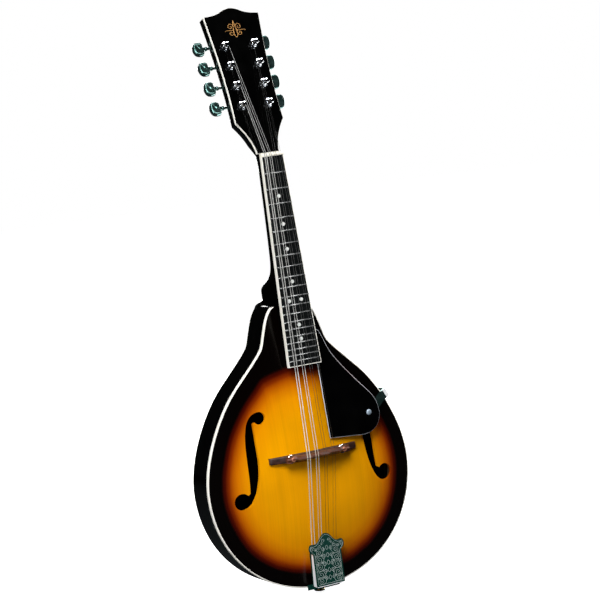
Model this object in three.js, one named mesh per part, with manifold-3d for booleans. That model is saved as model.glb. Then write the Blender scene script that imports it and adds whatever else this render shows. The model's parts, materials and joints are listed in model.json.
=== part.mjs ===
// A carved, arched mandolin with f-holes, eight strings in four courses,
// a bound pear-shaped body, a four-a-side headstock and an adjustable bridge.
//
// Millimetres. +Z runs up the body's centreline, -Y faces the player's audience and +X is the
// treble side. The body frame has its origin on the centreline at the body's bottom, in the
// plane of the front edge of the rim. The whole object is then moved so that its origin is the
// middle of the headstock's shoulders, where a hanger holds it.

import * as THREE from 'three';
import { mergeVertices } from 'three/addons/utils/BufferGeometryUtils.js';
import Module from 'manifold-3d';

const wasm = await Module();
wasm.setup();

// ---------------------------------------------------------------- driving dimensions

const SCALE_LENGTH = 352.4;
const NECK_ANGLE = THREE.MathUtils.degToRad(3.84);
const HEAD_ANGLE = THREE.MathUtils.degToRad(13.7);
const NUT_POINT = new THREE.Vector3(0, -7.35, 516);
const GAP = 0.3;

const RIB_DEPTH = 43;
const PLATE_EDGE = 4;
const RIB_WALL = 2.4;
const BINDING = 1.5;
const BACK_BINDING_DEPTH = 1.8;
const FRONT_ARCH = 15.5;
const BACK_ARCH = 12;
const ARCH_POWER = 1.4;
const ARCH_CENTRE_Z = 130;
const BODY_TOP_Z = 341;
const BASS_F_HOLE_SHIFT = -0.6;
const TREBLE_F_HOLE_SHIFT = 3;

const BOARD_THICK = 5.2;
const BOARD_LENGTH = 248;
const NUT_HALF = 14.25;
const BOARD_SPREAD = 0.02906;
const BOARD_BINDING = 0.8;
const HEAD_BINDING = 1.3;

const HEAD_SETBACK = 7.9;
const HEADPLATE_THICK = 1.8;
const HEAD_THICK = 14.5;
const POST_START = 65.8;
const POST_PITCH = 25.3;
const POST_HALF = 17.8;
const BANK_SPLAY = THREE.MathUtils.degToRad(1.2);
const WORM_Y = 20.8;
const WORM_RISE = 7.6;

const COMPENSATION = 2.4;
const BRIDGE_Z = NUT_POINT.z - SCALE_LENGTH * Math.cos(NECK_ANGLE) - COMPENSATION;
const SADDLE_TOP_Y = -35.4;
const STUD_HALF = 34;

const STRING_RADII = [0.5, 0.5, 0.33, 0.33, 0.19, 0.19, 0.14, 0.14];
const LARGEST_PLAIN = 0.3;
const COURSE_AT_NUT = 6.4;
const COURSE_AT_SADDLE = 11.2;
const COURSE_AT_TAIL = 9.3;
const PAIR_AT_NUT = 2.4;
const PAIR_AT_SADDLE = 3.4;
const PAIR_AT_TAIL = 4;

// ---------------------------------------------------------------- materials

function finish(color, roughness, metalness) {
  return new THREE.MeshStandardMaterial({ color, roughness, metalness });
}
const sunburst = finish(0xd98c10, 0.2, 0);
const blackLacquer = finish(0x060505, 0.15, 0);
const bareWood = finish(0xc9a878, 0.7, 0);
const cream = finish(0xf2ead2, 0.35, 0);
const bone = finish(0xf5f1e4, 0.4, 0);
const ebony = finish(0x1a1412, 0.5, 0);
const rosewood = finish(0x3a2320, 0.5, 0);
const chrome = finish(0xd5d8dc, 0.12, 1);
const nickel = finish(0xc8cac6, 0.2, 1);
const steel = finish(0x9a9da0, 0.35, 1);
const brass = finish(0xc39a4a, 0.3, 1);
const bronzeWire = finish(0xb9a58c, 0.35, 1);
const blackPlastic = finish(0x0a0a0b, 0.2, 0);

// ---------------------------------------------------------------- solids

function welded(geometry) {
  const bare = geometry.clone();
  bare.deleteAttribute('normal');
  bare.deleteAttribute('uv');
  return mergeVertices(bare, 1e-4);
}

function toSolid(geometry) {
  const bare = welded(geometry);
  return new wasm.Manifold(new wasm.Mesh({
    numProp: 3,
    vertProperties: new Float32Array(bare.attributes.position.array),
    triVerts: new Uint32Array(bare.index.array),
  }));
}

function fromSolid(solid) {
  const mesh = solid.getMesh();
  return indexed(mesh.vertProperties, mesh.triVerts);
}

function indexed(positions, triangles) {
  const geometry = new THREE.BufferGeometry();
  geometry.setAttribute('position', new THREE.Float32BufferAttribute(positions, 3));
  geometry.setIndex(Array.from(triangles));
  geometry.computeVertexNormals();
  return geometry;
}

function cut(geometry, ...tools) {
  return fromSolid(tools.reduce((left, tool) => left.subtract(toSolid(tool)), toSolid(geometry)));
}

function join(...pieces) {
  return fromSolid(pieces.map(toSolid).reduce((left, right) => left.add(right)));
}

function common(first, second) {
  return fromSolid(toSolid(first).intersect(toSolid(second)));
}

// Turns a closed index list round if its faces point inwards.
function facingOut(positions, triangles) {
  const corner = (i) => new THREE.Vector3().fromArray(positions, 3 * i);
  let volume = 0;
  for (let i = 0; i < triangles.length; i += 3) {
    const [a, b, c] = triangles.slice(i, i + 3).map(corner);
    volume += a.dot(b.cross(c));
  }
  return volume > 0 ? triangles : triangles.reverse();
}

// A block between two corners.
function block(low, high) {
  const size = high.map((value, i) => value - low[i]);
  const geometry = new THREE.BoxGeometry(...size);
  return geometry.translate(...low.map((value, i) => value + size[i] / 2));
}

// A plan outline (x, z) given thickness from its front face to its back face along Y.
function prism(outline, front, back, hole) {
  const shape = new THREE.Shape(outline);
  if (hole) shape.holes.push(new THREE.Path(hole));
  const geometry = new THREE.ExtrudeGeometry(shape, { depth: back - front, bevelEnabled: false });
  return geometry.rotateX(Math.PI / 2).translate(0, back, 0);
}

// A profile in X and Y given thickness from one Z to another.
function slab(points, low, high) {
  const shape = new THREE.Shape(points.map(([x, y]) => new THREE.Vector2(x, y)));
  const depth = high - low;
  return new THREE.ExtrudeGeometry(shape, { depth, bevelEnabled: false }).translate(0, 0, low);
}

// A round bar along Y.
function bar(x, z, radius, front, back, sides = 12) {
  return new THREE.CylinderGeometry(radius, radius, back - front, sides).translate(x, (front + back) / 2, z);
}

// A turned solid about Y from [radius, y] pairs that start and end on the axis or close up.
function turned(profile, sides) {
  const lathe = new THREE.LatheGeometry(profile.map(([r, y]) => new THREE.Vector2(r, y)), sides);
  const bare = welded(lathe);
  const solidFaces = [];
  const index = bare.index.array;
  for (let i = 0; i < index.length; i += 3) {
    const [a, b, c] = index.slice(i, i + 3);
    if (a !== b && b !== c && a !== c) solidFaces.push(a, b, c);
  }
  const positions = Array.from(bare.attributes.position.array);
  return indexed(positions, facingOut(positions, solidFaces));
}

// Equal closed loops of points skinned one to the next and capped at both ends.
function loft(loops) {
  const count = loops[0].length;
  const positions = loops.flat().flatMap((p) => p.toArray());
  const triangles = [];
  for (let i = 0; i + 1 < loops.length; i++) {
    for (let j = 0; j < count; j++) {
      const a = i * count + j;
      const b = i * count + (j + 1) % count;
      triangles.push(a, b, b + count, a, b + count, a + count);
    }
  }
  const last = (loops.length - 1) * count;
  for (let j = 1; j + 1 < count; j++) {
    triangles.push(0, j + 1, j, last, last + j, last + j + 1);
  }
  return indexed(positions, facingOut(positions, triangles));
}

// A thin round cord through hand-set points, mitred at each bend.
function cord(points, radius, sides = 6) {
  const loops = points.map((point, i) => {
    const before = points[Math.max(i - 1, 0)];
    const after = points[Math.min(i + 1, points.length - 1)];
    const along = after.clone().sub(before).normalize();
    const across = new THREE.Vector3(1, 0, 0);
    across.addScaledVector(along, -across.dot(along)).normalize();
    const third = along.clone().cross(across);
    return Array.from({ length: sides }, (_, j) => {
      const turn = (2 * Math.PI * j) / sides;
      return point.clone()
        .addScaledVector(across, radius * Math.cos(turn))
        .addScaledVector(third, radius * Math.sin(turn));
    });
  });
  return loft(loops);
}

// ---------------------------------------------------------------- outlines

// Points along a path: every corner, and the given number of steps on each curve in turn.
function sampled(path, ...steps) {
  let used = 0;
  const points = path.curves.flatMap((curve) => {
    if (curve.isLineCurve) return [curve.v1, curve.v2];
    const count = steps[Math.min(used, steps.length - 1)];
    used += 1;
    return curve.getPoints(count);
  });
  return points.filter((p, i) => i === 0 || p.distanceTo(points[i - 1]) > 1e-3);
}

// The left half repeats the right half, which runs from the centreline back to it.
function mirrored(right) {
  const left = right.slice().reverse().filter((p) => p.x > 1e-6);
  return [...right, ...left.map((p) => new THREE.Vector2(-p.x, p.y))];
}

// Moves a counter-clockwise outline inwards by a constant distance.
function inset(outline, distance) {
  const count = outline.length;
  return outline.map((point, i) => {
    const before = outline[(i + count - 1) % count];
    const after = outline[(i + 1) % count];
    const one = point.clone().sub(before).normalize();
    const two = after.clone().sub(point).normalize();
    const normal = new THREE.Vector2(-one.y - two.y, one.x + two.x).normalize();
    const stretch = Math.min(1 / Math.max(normal.dot(new THREE.Vector2(-one.y, one.x)), 0.4), 2);
    return point.clone().addScaledVector(normal, distance * stretch);
  });
}

function bodyHalf() {
  const path = new THREE.Path();
  path.moveTo(0, 0);
  path.bezierCurveTo(77, 0, 134.4, 58, 134.4, 133.5);
  path.bezierCurveTo(134.4, 171, 113.7, 213.6, 92.7, 240.5);
  path.bezierCurveTo(80, 256.7, 51, 281.5, 43.7, 293.5);
  path.bezierCurveTo(38.4, 304, 34.5, 336, 20.5, BODY_TOP_Z);
  return path;
}
const bodyOutline = mirrored(sampled(bodyHalf(), 14, 8, 6, 6));
const coarseOutline = mirrored(sampled(bodyHalf(), 8, 5, 4, 3));
const plateOutline = inset(bodyOutline, BINDING);
const wallOutline = inset(bodyOutline, RIB_WALL);

function headOutline() {
  const path = new THREE.Path();
  path.moveTo(NUT_HALF, 5.6);
  path.bezierCurveTo(15.5, 22, 24, 36, 31.3, 45.5);
  path.bezierCurveTo(29.2, 92, 31.5, 130, 36.3, 180.6);
  path.bezierCurveTo(30.5, 181.4, 22.5, 181.5, 16, 184.5);
  path.bezierCurveTo(10.4, 187.1, 6, 189.7, 0, 189.7);
  return mirrored(sampled(path, 5, 3, 2, 3));
}

function boardOutline(trim) {
  const end = -BOARD_LENGTH + trim;
  const nutHalf = NUT_HALF - trim;
  const endHalf = NUT_HALF + BOARD_SPREAD * BOARD_LENGTH - trim;
  return [[-endHalf, end], [endHalf, end], [nutHalf, 0], [-nutHalf, 0]].map((p) => new THREE.Vector2(...p));
}

// ---------------------------------------------------------------- arched plates

// Height of a carved plate above its rim, from its centre (0) to its edge (1).
function arch(height, fraction) {
  return (height / 2) * (1 + Math.cos(Math.PI * fraction ** ARCH_POWER));
}

// A plate whose front and back faces are given as Y for each fraction from centre to edge.
function archedPlate(outline, rings, frontAt, backAt) {
  const count = outline.length;
  const centre = new THREE.Vector2(0, ARCH_CENTRE_Z);
  const face = (yAt) => {
    const points = [centre.x, yAt(0), centre.y];
    for (let ring = 1; ring <= rings; ring++) {
      const fraction = ring / rings;
      for (const edge of outline) {
        const p = centre.clone().lerp(edge, fraction);
        points.push(p.x, yAt(fraction), p.y);
      }
    }
    return points;
  };
  const positions = [...face(frontAt), ...face(backAt)];
  const offset = 1 + rings * count;
  const triangles = [];
  const quad = (a, b, c, d) => triangles.push(a, b, c, a, c, d);
  for (let j = 0; j < count; j++) {
    const next = (j + 1) % count;
    triangles.push(0, 1 + j, 1 + next, offset, offset + 1 + next, offset + 1 + j);
    for (let ring = 0; ring + 1 < rings; ring++) {
      const inner = 1 + ring * count;
      const outer = inner + count;
      quad(inner + j, outer + j, outer + next, inner + next);
      quad(offset + inner + next, offset + outer + next, offset + outer + j, offset + inner + j);
    }
    const rim = 1 + (rings - 1) * count;
    quad(rim + j, offset + rim + j, offset + rim + next, rim + next);
  }
  return indexed(positions, facingOut(positions, triangles));
}

const frontFace = (fraction) => -arch(FRONT_ARCH, fraction);
const frontInside = (fraction) => frontFace(fraction) + PLATE_EDGE;
const backFace = (fraction) => RIB_DEPTH + arch(BACK_ARCH, fraction);
const backInside = (fraction) => backFace(fraction) - PLATE_EDGE;

// Everything from a little in front of the soundboard backwards, for seating pieces on it.
function soundboardSeat() {
  return archedPlate(plateOutline, 5, (f) => frontFace(f) - GAP, () => 30);
}

// Everything from a little behind the soundboard's inside forwards, for fitting braces to it.
function soundboardInsideSeat() {
  return archedPlate(plateOutline, 5, () => -60, (f) => frontInside(f) + GAP);
}

// ---------------------------------------------------------------- body

function fHole(side) {
  const stem = new THREE.Path();
  const offset = side > 0 ? TREBLE_F_HOLE_SHIFT : BASS_F_HOLE_SHIFT;
  stem.moveTo(60.3, 221.6);
  stem.bezierCurveTo(69.5, 221.4, 77, 215, 80, 200);
  stem.bezierCurveTo(84.6, 180, 82.6, 152, 84.6, 129);
  stem.lineTo(93, 123);
  stem.lineTo(93, 111.4);
  stem.bezierCurveTo(79, 110.5, 69.2, 142, 69.2, 168);
  stem.lineTo(69, 208.5);
  stem.lineTo(60.8, 214.5);
  const outline = sampled(stem, 7).map((p) => new THREE.Vector2(side * (p.x + offset), p.y));
  return join(
    prism(outline, -30, 20),
    bar(side * (60.3 + offset), 214.2, 7.4, -30, 20, 20),
    bar(side * (94.7 + offset), 120.8, 9.5, -30, 20, 24),
  );
}

function soundboard() {
  const plate = archedPlate(plateOutline, 5, frontFace, frontInside);
  return cut(plate, fHole(1), fHole(-1));
}

// The back lies inside the ribs, and a thin binding covers their back edge.
function backPlate() {
  return archedPlate(wallOutline, 4, backInside, backFace);
}

function ribs() {
  return prism(bodyOutline, PLATE_EDGE, RIB_DEPTH - BACK_BINDING_DEPTH, wallOutline);
}

function topBinding() {
  return prism(bodyOutline, 0, PLATE_EDGE, plateOutline);
}

function backBinding() {
  return prism(bodyOutline, RIB_DEPTH - BACK_BINDING_DEPTH, RIB_DEPTH, wallOutline);
}

const LINING_DEPTH = 9;
const LINING_WIDTH = 4.5;
const LINING_INSET = RIB_WALL + GAP + 0.6;

function liningRing(front, back, clearance) {
  const outer = inset(coarseOutline, LINING_INSET - clearance);
  const inner = inset(coarseOutline, LINING_INSET + LINING_WIDTH + clearance);
  return prism(outer, front - clearance, back + clearance, inner);
}

const topLining = () => liningRing(PLATE_EDGE + GAP, PLATE_EDGE + GAP + LINING_DEPTH, 0);
const backLining = () => {
  const back = RIB_DEPTH - PLATE_EDGE - GAP;
  return liningRing(back - LINING_DEPTH, back, 0);
};

// A block between the plates that follows the ribs and is notched for the linings.
function endBlock(halfWidth, lowZ, highZ) {
  const front = PLATE_EDGE + GAP;
  const back = RIB_DEPTH - PLATE_EDGE - GAP;
  const inside = prism(inset(bodyOutline, RIB_WALL + GAP), front, back);
  const chunk = common(block([-halfWidth, front, lowZ], [halfWidth, back, highZ]), inside);
  return cut(
    chunk,
    liningRing(front, front + LINING_DEPTH, GAP),
    liningRing(back - LINING_DEPTH, back, GAP),
    soundboardInsideSeat(),
  );
}

// A brace glued under the soundboard, leaning outwards towards the tail.
function toneBar(side) {
  const beam = block([-3.5, -14, -80], [3.5, 3.4, 80]);
  beam.rotateY(side * THREE.MathUtils.degToRad(-9)).translate(side * 36, 0, 158);
  return cut(beam, soundboardInsideSeat());
}

// ---------------------------------------------------------------- neck frame
// Origin at the middle of the nut's front edge, on the fingerboard's face. +Z runs up the neck.

// One cross-section of the neck: flat towards the board, rounded or blocky at the back.
function neckLoop([z, top, depth, topHalf, lowHalf, squareness]) {
  const steps = 12;
  return Array.from({ length: steps + 1 }, (_, i) => {
    const turn = (Math.PI * i) / steps;
    const across = Math.sign(Math.cos(turn)) * Math.abs(Math.cos(turn)) ** squareness;
    const down = Math.abs(Math.sin(turn)) ** squareness;
    const half = topHalf + (lowHalf - topHalf) * down;
    return new THREE.Vector3(across * half, top + depth * down, z);
  });
}

function neckShaft() {
  const half = (z) => NUT_HALF + BOARD_SPREAD * Math.max(-z, 0);
  const heel = [
    [-200, 55.5, 18.4, 0.34], [-160, 55.5, 18, 0.34], [-156, 55.5, 17.9, 0.34], [-152.5, 54.6, 17.9, 0.36],
    [-149.5, 51, 17.9, 0.4], [-147, 46, 17.9, 0.44], [-144, 38.5, 17.9, 0.5], [-140.5, 32.2, 17.9, 0.58],
    [-136, 27, 18, 0.66],
  ];
  const shaft = [
    [-130, 23.6, 0.72], [-123, 21.8, 0.75], [-110, 20.4, 0.76], [-80, 19.1, 0.78], [-14, 17.9, 0.78],
    [-4, 19.2, 0.76], [4.6, 21.4, 0.74],
  ];
  const stations = [
    ...heel.map(([z, depth, low, squareness]) => [z, BOARD_THICK, depth, half(z), low, squareness]),
    ...shaft.map(([z, depth, squareness]) => [z, BOARD_THICK, depth, half(z), half(z), squareness]),
    [5, 11.3, 15.3, half(0), half(0), 0.74],
    [15, 14, 11.2, 14, 14, 0.8],
  ];
  return loft(stations.map(neckLoop));
}

function headGroupMatrix() {
  const turn = new THREE.Matrix4().makeRotationX(-HEAD_ANGLE);
  return turn.setPosition(0, HEAD_SETBACK, 0);
}

function neckGroupMatrix() {
  const turn = new THREE.Matrix4().makeRotationX(-NECK_ANGLE);
  return turn.setPosition(NUT_POINT);
}

function bankMatrix(side) {
  const turn = new THREE.Matrix4().makeRotationY(side * BANK_SPLAY);
  return turn.setPosition(side * POST_HALF, 0, POST_START);
}

const POST_HOLE = 3.4;

// The eight post holes, in the headstock's frame.
function postHoles(front, back) {
  const holes = [];
  for (const side of [-1, 1]) {
    for (let i = 0; i < 4; i++) {
      const hole = bar(0, i * POST_PITCH, POST_HOLE, front, back, 8);
      holes.push(hole.applyMatrix4(bankMatrix(side)));
    }
  }
  return holes;
}

// Body-frame pieces used to cut or trim pieces in the neck's frame.
function inNeckFrame(geometry) {
  return geometry.applyMatrix4(neckGroupMatrix().invert());
}

const ROD_TOP = BOARD_THICK + GAP;

function neck() {
  const core = prism(headOutline(), HEADPLATE_THICK + GAP, HEAD_THICK);
  const headPart = cut(core, ...postHoles(0, 20));
  headPart.applyMatrix4(headGroupMatrix());
  const belowJoint = inNeckFrame(block([-60, -60, 200], [60, 100, BODY_TOP_Z + GAP]));
  const rodChannel = block([-3.3, BOARD_THICK - 1, -150], [3.3, 13.8, -8]);
  return cut(join(neckShaft(), headPart), belowJoint, rodChannel);
}

function neckRod() {
  return block([-3, ROD_TOP, -149.7], [3, 13.5, -8.3]);
}

// The neck's tongue, which carries the fingerboard over the soundboard.
function boardSupport() {
  const tongue = block([-16.5, BOARD_THICK, -243], [16.5, 26, -150]);
  const aboveJoint = inNeckFrame(block([-60, -60, BODY_TOP_Z], [60, 100, 400]));
  const behindRim = inNeckFrame(block([-60, -GAP, 200], [60, 100, 400]));
  return cut(tongue, aboveJoint, behindRim, inNeckFrame(soundboardSeat()));
}

function fingerboard() {
  return prism(boardOutline(BOARD_BINDING), 0, BOARD_THICK);
}

function fingerboardBinding() {
  const [endLeft, endRight, nutRight, nutLeft] = boardOutline(0);
  const [innerEndLeft, innerEndRight, innerNutRight, innerNutLeft] = boardOutline(BOARD_BINDING);
  const outside = [nutLeft, endLeft, endRight, nutRight];
  const inside = [innerNutRight, innerEndRight, innerEndLeft, innerNutLeft];
  return prism([...outside, ...inside], 0, BOARD_THICK);
}

const NUT_TOP = -1.4;
const NUT_WIDTH = 4.8;

function nut() {
  const profile = [
    [0, BOARD_THICK], [0, NUT_TOP + 0.3], [1.2, NUT_TOP], [2.8, NUT_TOP], [NUT_WIDTH, 0.2],
    [NUT_WIDTH, BOARD_THICK],
  ];
  const loop = (x) => profile.map(([z, y]) => new THREE.Vector3(x, y, z));
  return loft([loop(-NUT_HALF), loop(NUT_HALF)]);
}

const GUARD_FRONT = 12;
const GUARD_THICK = 1.8;
const GUARD_SCREW = new THREE.Vector2(79.8, -318.4);
const SCREW_HOLE = 1.7;

function pickguard() {
  const path = new THREE.Path();
  path.moveTo(17, -206);
  path.lineTo(17, -246.5);
  path.lineTo(21.8, -250.5);
  path.lineTo(23.3, -339.8);
  path.lineTo(67, -343.5);
  path.bezierCurveTo(84, -344.5, 94, -333, 94.3, -320.5);
  path.bezierCurveTo(94.3, -309, 91.5, -302, 83.5, -292.5);
  path.bezierCurveTo(74, -282, 50, -254, 41.5, -239);
  path.bezierCurveTo(37.2, -231, 34.5, -220, 30, -211);
  path.lineTo(22, -206);
  const plate = prism(sampled(path, 7), GUARD_FRONT, GUARD_FRONT + GUARD_THICK);
  return cut(plate, bar(GUARD_SCREW.x, GUARD_SCREW.y, SCREW_HOLE, 0, 20, 10));
}

function pickguardScrew() {
  const front = GUARD_FRONT - GAP;
  const screw = turned([
    [0, front + 5], [1.3, front + 5], [1.3, front], [3.4, front], [2.8, front - 1.2], [0, front - 1.7],
  ], 12);
  return screw.translate(GUARD_SCREW.x, 0, GUARD_SCREW.y);
}

// ---------------------------------------------------------------- headstock frame
// Origin under the nut in the face of the headplate, +Z up the headstock.

function headplate() {
  const plate = prism(inset(headOutline(), HEAD_BINDING), 0, HEADPLATE_THICK);
  return cut(plate, ...postHoles(-5, 5));
}

function headstockBinding() {
  const outline = headOutline();
  return prism(outline, 0, HEADPLATE_THICK, inset(outline, HEAD_BINDING));
}

const PLATE_THICK = 1.2;
const LUG_THICK = 1.6;
const LUG_HALF = 2.6;
const LUG_OFFSET = 5.4;
const SHAFT_RADIUS = 1.6;

// One bank's mounting strip, in the bank's frame, with two bearing lugs for each worm.
function tunerPlate() {
  const front = HEAD_THICK + GAP;
  const back = front + PLATE_THICK;
  const strip = block([-5.6, front, -8], [5.6, back, 3 * POST_PITCH + 14]);
  const lugs = [];
  const holes = [];
  for (let i = 0; i < 4; i++) {
    const z = i * POST_PITCH;
    holes.push(bar(0, z, 3.3, front - 2, back + 2, 8));
    for (const x of [-LUG_OFFSET, LUG_OFFSET]) {
      const low = [x - LUG_THICK / 2, front, z + WORM_RISE - LUG_HALF];
      lugs.push(block(low, [x + LUG_THICK / 2, WORM_Y + 2.8, z + WORM_RISE + LUG_HALF]));
    }
    const bore = new THREE.CylinderGeometry(SHAFT_RADIUS + GAP, SHAFT_RADIUS + GAP, 20, 6);
    holes.push(bore.rotateZ(Math.PI / 2).translate(0, WORM_Y, z + WORM_RISE));
  }
  return cut(join(strip, ...lugs), ...holes);
}

const POST_RADIUS = 3;
const POST_WAIST = 2.4;
const WINDING_Y = -5.8;

// A string post with its gear behind the headstock and a waist for the string in front.
function stringPost() {
  return turned([
    [0, WORM_Y + 3], [4.9, WORM_Y + 3], [4.9, WORM_Y - 2.6], [POST_RADIUS, WORM_Y - 2.6],
    [POST_RADIUS, -3.8], [POST_WAIST, -4.3], [POST_WAIST, -7.4], [POST_RADIUS, -7.9],
    [POST_RADIUS, -9.6], [0, -10.3],
  ], 10);
}

const BUTTON_START = 17.5;
const BUTTON_FLAT = 3.6;
const BUTTON_ROLLS = [12, 10, 14, 11];
const WORM_RADIUS = 2.4;
const WORM_HALF = 4.3;

// A button on its shaft, with the worm between the two lugs. It points along +X.
function tunerButton(roll) {
  const shape = new THREE.Shape();
  shape.moveTo(0, -5);
  shape.lineTo(1.6, -7);
  shape.bezierCurveTo(6, -8.6, 11.4, -8, 11.8, 0);
  shape.bezierCurveTo(11.4, 8, 6, 8.6, 1.6, 7);
  shape.lineTo(0, 5);
  const blade = new THREE.ExtrudeGeometry(shape, {
    depth: BUTTON_FLAT,
    curveSegments: 4,
    bevelThickness: 1.6,
    bevelSize: 1.2,
    bevelOffset: -0.3,
    bevelSegments: 1,
  });
  blade.rotateX(Math.PI / 2).translate(BUTTON_START + 1, BUTTON_FLAT / 2, 0);
  const shaft = turned([
    [0, -8], [SHAFT_RADIUS, -8], [SHAFT_RADIUS, -WORM_HALF], [WORM_RADIUS, -WORM_HALF],
    [WORM_RADIUS, WORM_HALF], [SHAFT_RADIUS, WORM_HALF],
    [SHAFT_RADIUS, 13], [2.2, BUTTON_START - 1.5], [2.2, BUTTON_START + 4], [0, BUTTON_START + 4],
  ], 8);
  shaft.rotateZ(-Math.PI / 2);
  return join(blade, shaft).rotateX(THREE.MathUtils.degToRad(roll));
}

// ---------------------------------------------------------------- bridge, in the body's frame

const BASE_HALF = 57.4;
const BASE_TOP_Y = -21.8;
const WHEEL_THICK = 2.2;
const WHEEL_FRONT = BASE_TOP_Y - 0.6 - WHEEL_THICK;
const SADDLE_BOTTOM_Y = WHEEL_FRONT - GAP;
const STUD_RADIUS = 1.5;
const STUD_LENGTH = 11.9;
const BASE_HALF_THICK = 3.8;
const SADDLE_HALF_THICK = 3.6;

// A profile in X and Y given thickness along Z about the bridge's line.
function acrossBody(points, halfThick) {
  return slab(points, BRIDGE_Z - halfThick, BRIDGE_Z + halfThick);
}

function bridgeBase() {
  const half = [[BASE_HALF, -8], [BASE_HALF, -14.8], [50, -17], [41, BASE_TOP_Y + 0.4], [38, BASE_TOP_Y]];
  const profile = [...half, ...half.slice().reverse().map(([x, y]) => [-x, y])];
  const holes = [-1, 1].map((side) => bar(side * STUD_HALF, BRIDGE_Z, STUD_RADIUS + GAP, -40, -17.2, 10));
  return cut(acrossBody(profile, BASE_HALF_THICK), soundboardSeat(), ...holes);
}

function saddle() {
  const half = [
    [40.5, SADDLE_BOTTOM_Y], [41.5, SADDLE_BOTTOM_Y - 3], [39, SADDLE_BOTTOM_Y - 6.6],
    [31, SADDLE_TOP_Y + 1.6], [25, SADDLE_TOP_Y],
  ];
  const roof = SADDLE_BOTTOM_Y - 2;
  const underside = [[-27, SADDLE_BOTTOM_Y], [-23, roof], [23, roof], [27, SADDLE_BOTTOM_Y]];
  const profile = [...half, ...half.slice().reverse().map(([x, y]) => [-x, y])];
  const blank = acrossBody(profile, SADDLE_HALF_THICK);
  const wedge = [
    [SADDLE_HALF_THICK, SADDLE_BOTTOM_Y + 1], [SADDLE_HALF_THICK, SADDLE_BOTTOM_Y - 3.5],
    [1.5, SADDLE_TOP_Y - 1],
  ];
  const section = [...wedge, ...wedge.slice().reverse().map(([z, y]) => [-z, y])];
  const loop = (x) => section.map(([z, y]) => new THREE.Vector3(x, y, BRIDGE_Z + z));
  const bore = (side) => bar(side * STUD_HALF, BRIDGE_Z, STUD_RADIUS + GAP, SADDLE_BOTTOM_Y - 5.6, 0, 10);
  const holes = [-1, 1].map(bore);
  return cut(common(blank, loft([loop(-50), loop(50)])), acrossBody(relief(underside), 6), ...holes);
}

// The shallow relief under the saddle, run a little past its lower face.
function relief(points) {
  const [first, , , last] = points;
  return [[first[0], first[1] + 2], ...points, [last[0], last[1] + 2]];
}

function bridgeStud() {
  return new THREE.CylinderGeometry(STUD_RADIUS, STUD_RADIUS, STUD_LENGTH, 8).translate(0, -23.6, 0);
}

function thumbwheel() {
  const bore = STUD_RADIUS + GAP;
  const front = WHEEL_FRONT;
  const back = WHEEL_FRONT + WHEEL_THICK;
  return turned([[bore, front], [4.7, front], [4.7, back], [bore, back], [bore, front]], 16);
}

// ---------------------------------------------------------------- tailpiece and end pin

const COVER_FRONT = -18.2;
const COVER_THICK = 1;
const COVER_SIDE_BACK = -7.6;
const COVER_HALF = 19;
const COVER_LOW_Z = 3.4;
const COVER_WAIST_Z = 43.5;
const HOOK_Z = 33;
const HOOK_STRING_Y = -8.9;
const HOOK_HALF = 0.8;

function tailpieceBase() {
  const parts = [
    block([-17.4, -6.4, -1.5], [17.4, -5.2, 44]),
    block([-15, -6.4, -1.5], [15, 28, -0.4]),
    block([-14, -5.6, -1.5], [14, -0.4, 11]),
    block([-23, -1.6, -1.5], [23, -0.4, 5]),
  ];
  for (const x of stringPlaces(COURSE_AT_TAIL, PAIR_AT_TAIL)) {
    parts.push(block([x - HOOK_HALF, -11.5, HOOK_Z - 2 * HOOK_HALF], [x + HOOK_HALF, -5.6, HOOK_Z]));
  }
  return cut(join(...parts), soundboardSeat());
}

function tailpieceCover() {
  const path = new THREE.Path();
  path.moveTo(0, COVER_LOW_Z);
  path.lineTo(COVER_HALF, COVER_LOW_Z);
  path.lineTo(COVER_HALF, COVER_WAIST_Z);
  path.bezierCurveTo(23.5, 45, 25, 50.5, 22.6, 54);
  path.bezierCurveTo(20.5, 57.5, 17.5, 54.2, 13.5, 55.5);
  path.bezierCurveTo(8.5, 57.5, 7, 66, 0, 66.2);
  const plate = prism(mirrored(sampled(path, 5)), COVER_FRONT, COVER_FRONT + COVER_THICK);
  const inner = COVER_HALF - COVER_THICK;
  return join(
    plate,
    block([inner, COVER_FRONT, COVER_LOW_Z], [COVER_HALF, COVER_SIDE_BACK, COVER_WAIST_Z]),
    block([-COVER_HALF, COVER_FRONT, COVER_LOW_Z], [-inner, COVER_SIDE_BACK, COVER_WAIST_Z]),
    block([-COVER_HALF, COVER_FRONT, COVER_LOW_Z], [COVER_HALF, COVER_SIDE_BACK, COVER_LOW_Z + COVER_THICK]),
  );
}

const PIN_Y = 14;

function endPin() {
  const pin = turned([
    [0, 0], [7, 0], [7, -1.4], [5.2, -2], [5, -4.6], [6.6, -5.4], [6.2, -6.4], [0, -6.4],
  ], 16);
  return pin.rotateX(Math.PI / 2).translate(0, PIN_Y, -1.8);
}

// ---------------------------------------------------------------- pickguard bracket

const ARM_ANGLE = THREE.MathUtils.degToRad(27.6);
const ARM_HALF = 5.5;

// A bent strip from under the pickguard's screw, out over the rim and down the side.
function pickguardBracket() {
  const profile = [
    [-8, -14.2], [14, -13.2], [31, -4.8], [40, -3.4], [40, 26], [38.4, 26],
    [38.4, -1.8], [30.6, -3.1], [13.8, -11.6], [-8, -12.7],
  ];
  const arm = slab(profile, -ARM_HALF, ARM_HALF);
  return cut(arm, bar(0, 0, SCREW_HOLE, -30, 0, 10)).rotateY(-ARM_ANGLE);
}

// ---------------------------------------------------------------- strings

// X of each string at a place with the given course and pair spacing.
function stringPlaces(courseSpacing, pairSpacing) {
  return STRING_RADII.map((_, i) => {
    const course = Math.floor(i / 2) - 1.5;
    const within = (i % 2) - 0.5;
    return course * courseSpacing + within * pairSpacing;
  });
}

// Which post each string winds on: the outer string of a course takes the lower post.
const STRING_POSTS = [[-1, 0], [-1, 1], [-1, 2], [-1, 3], [1, 3], [1, 2], [1, 1], [1, 0]];

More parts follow.
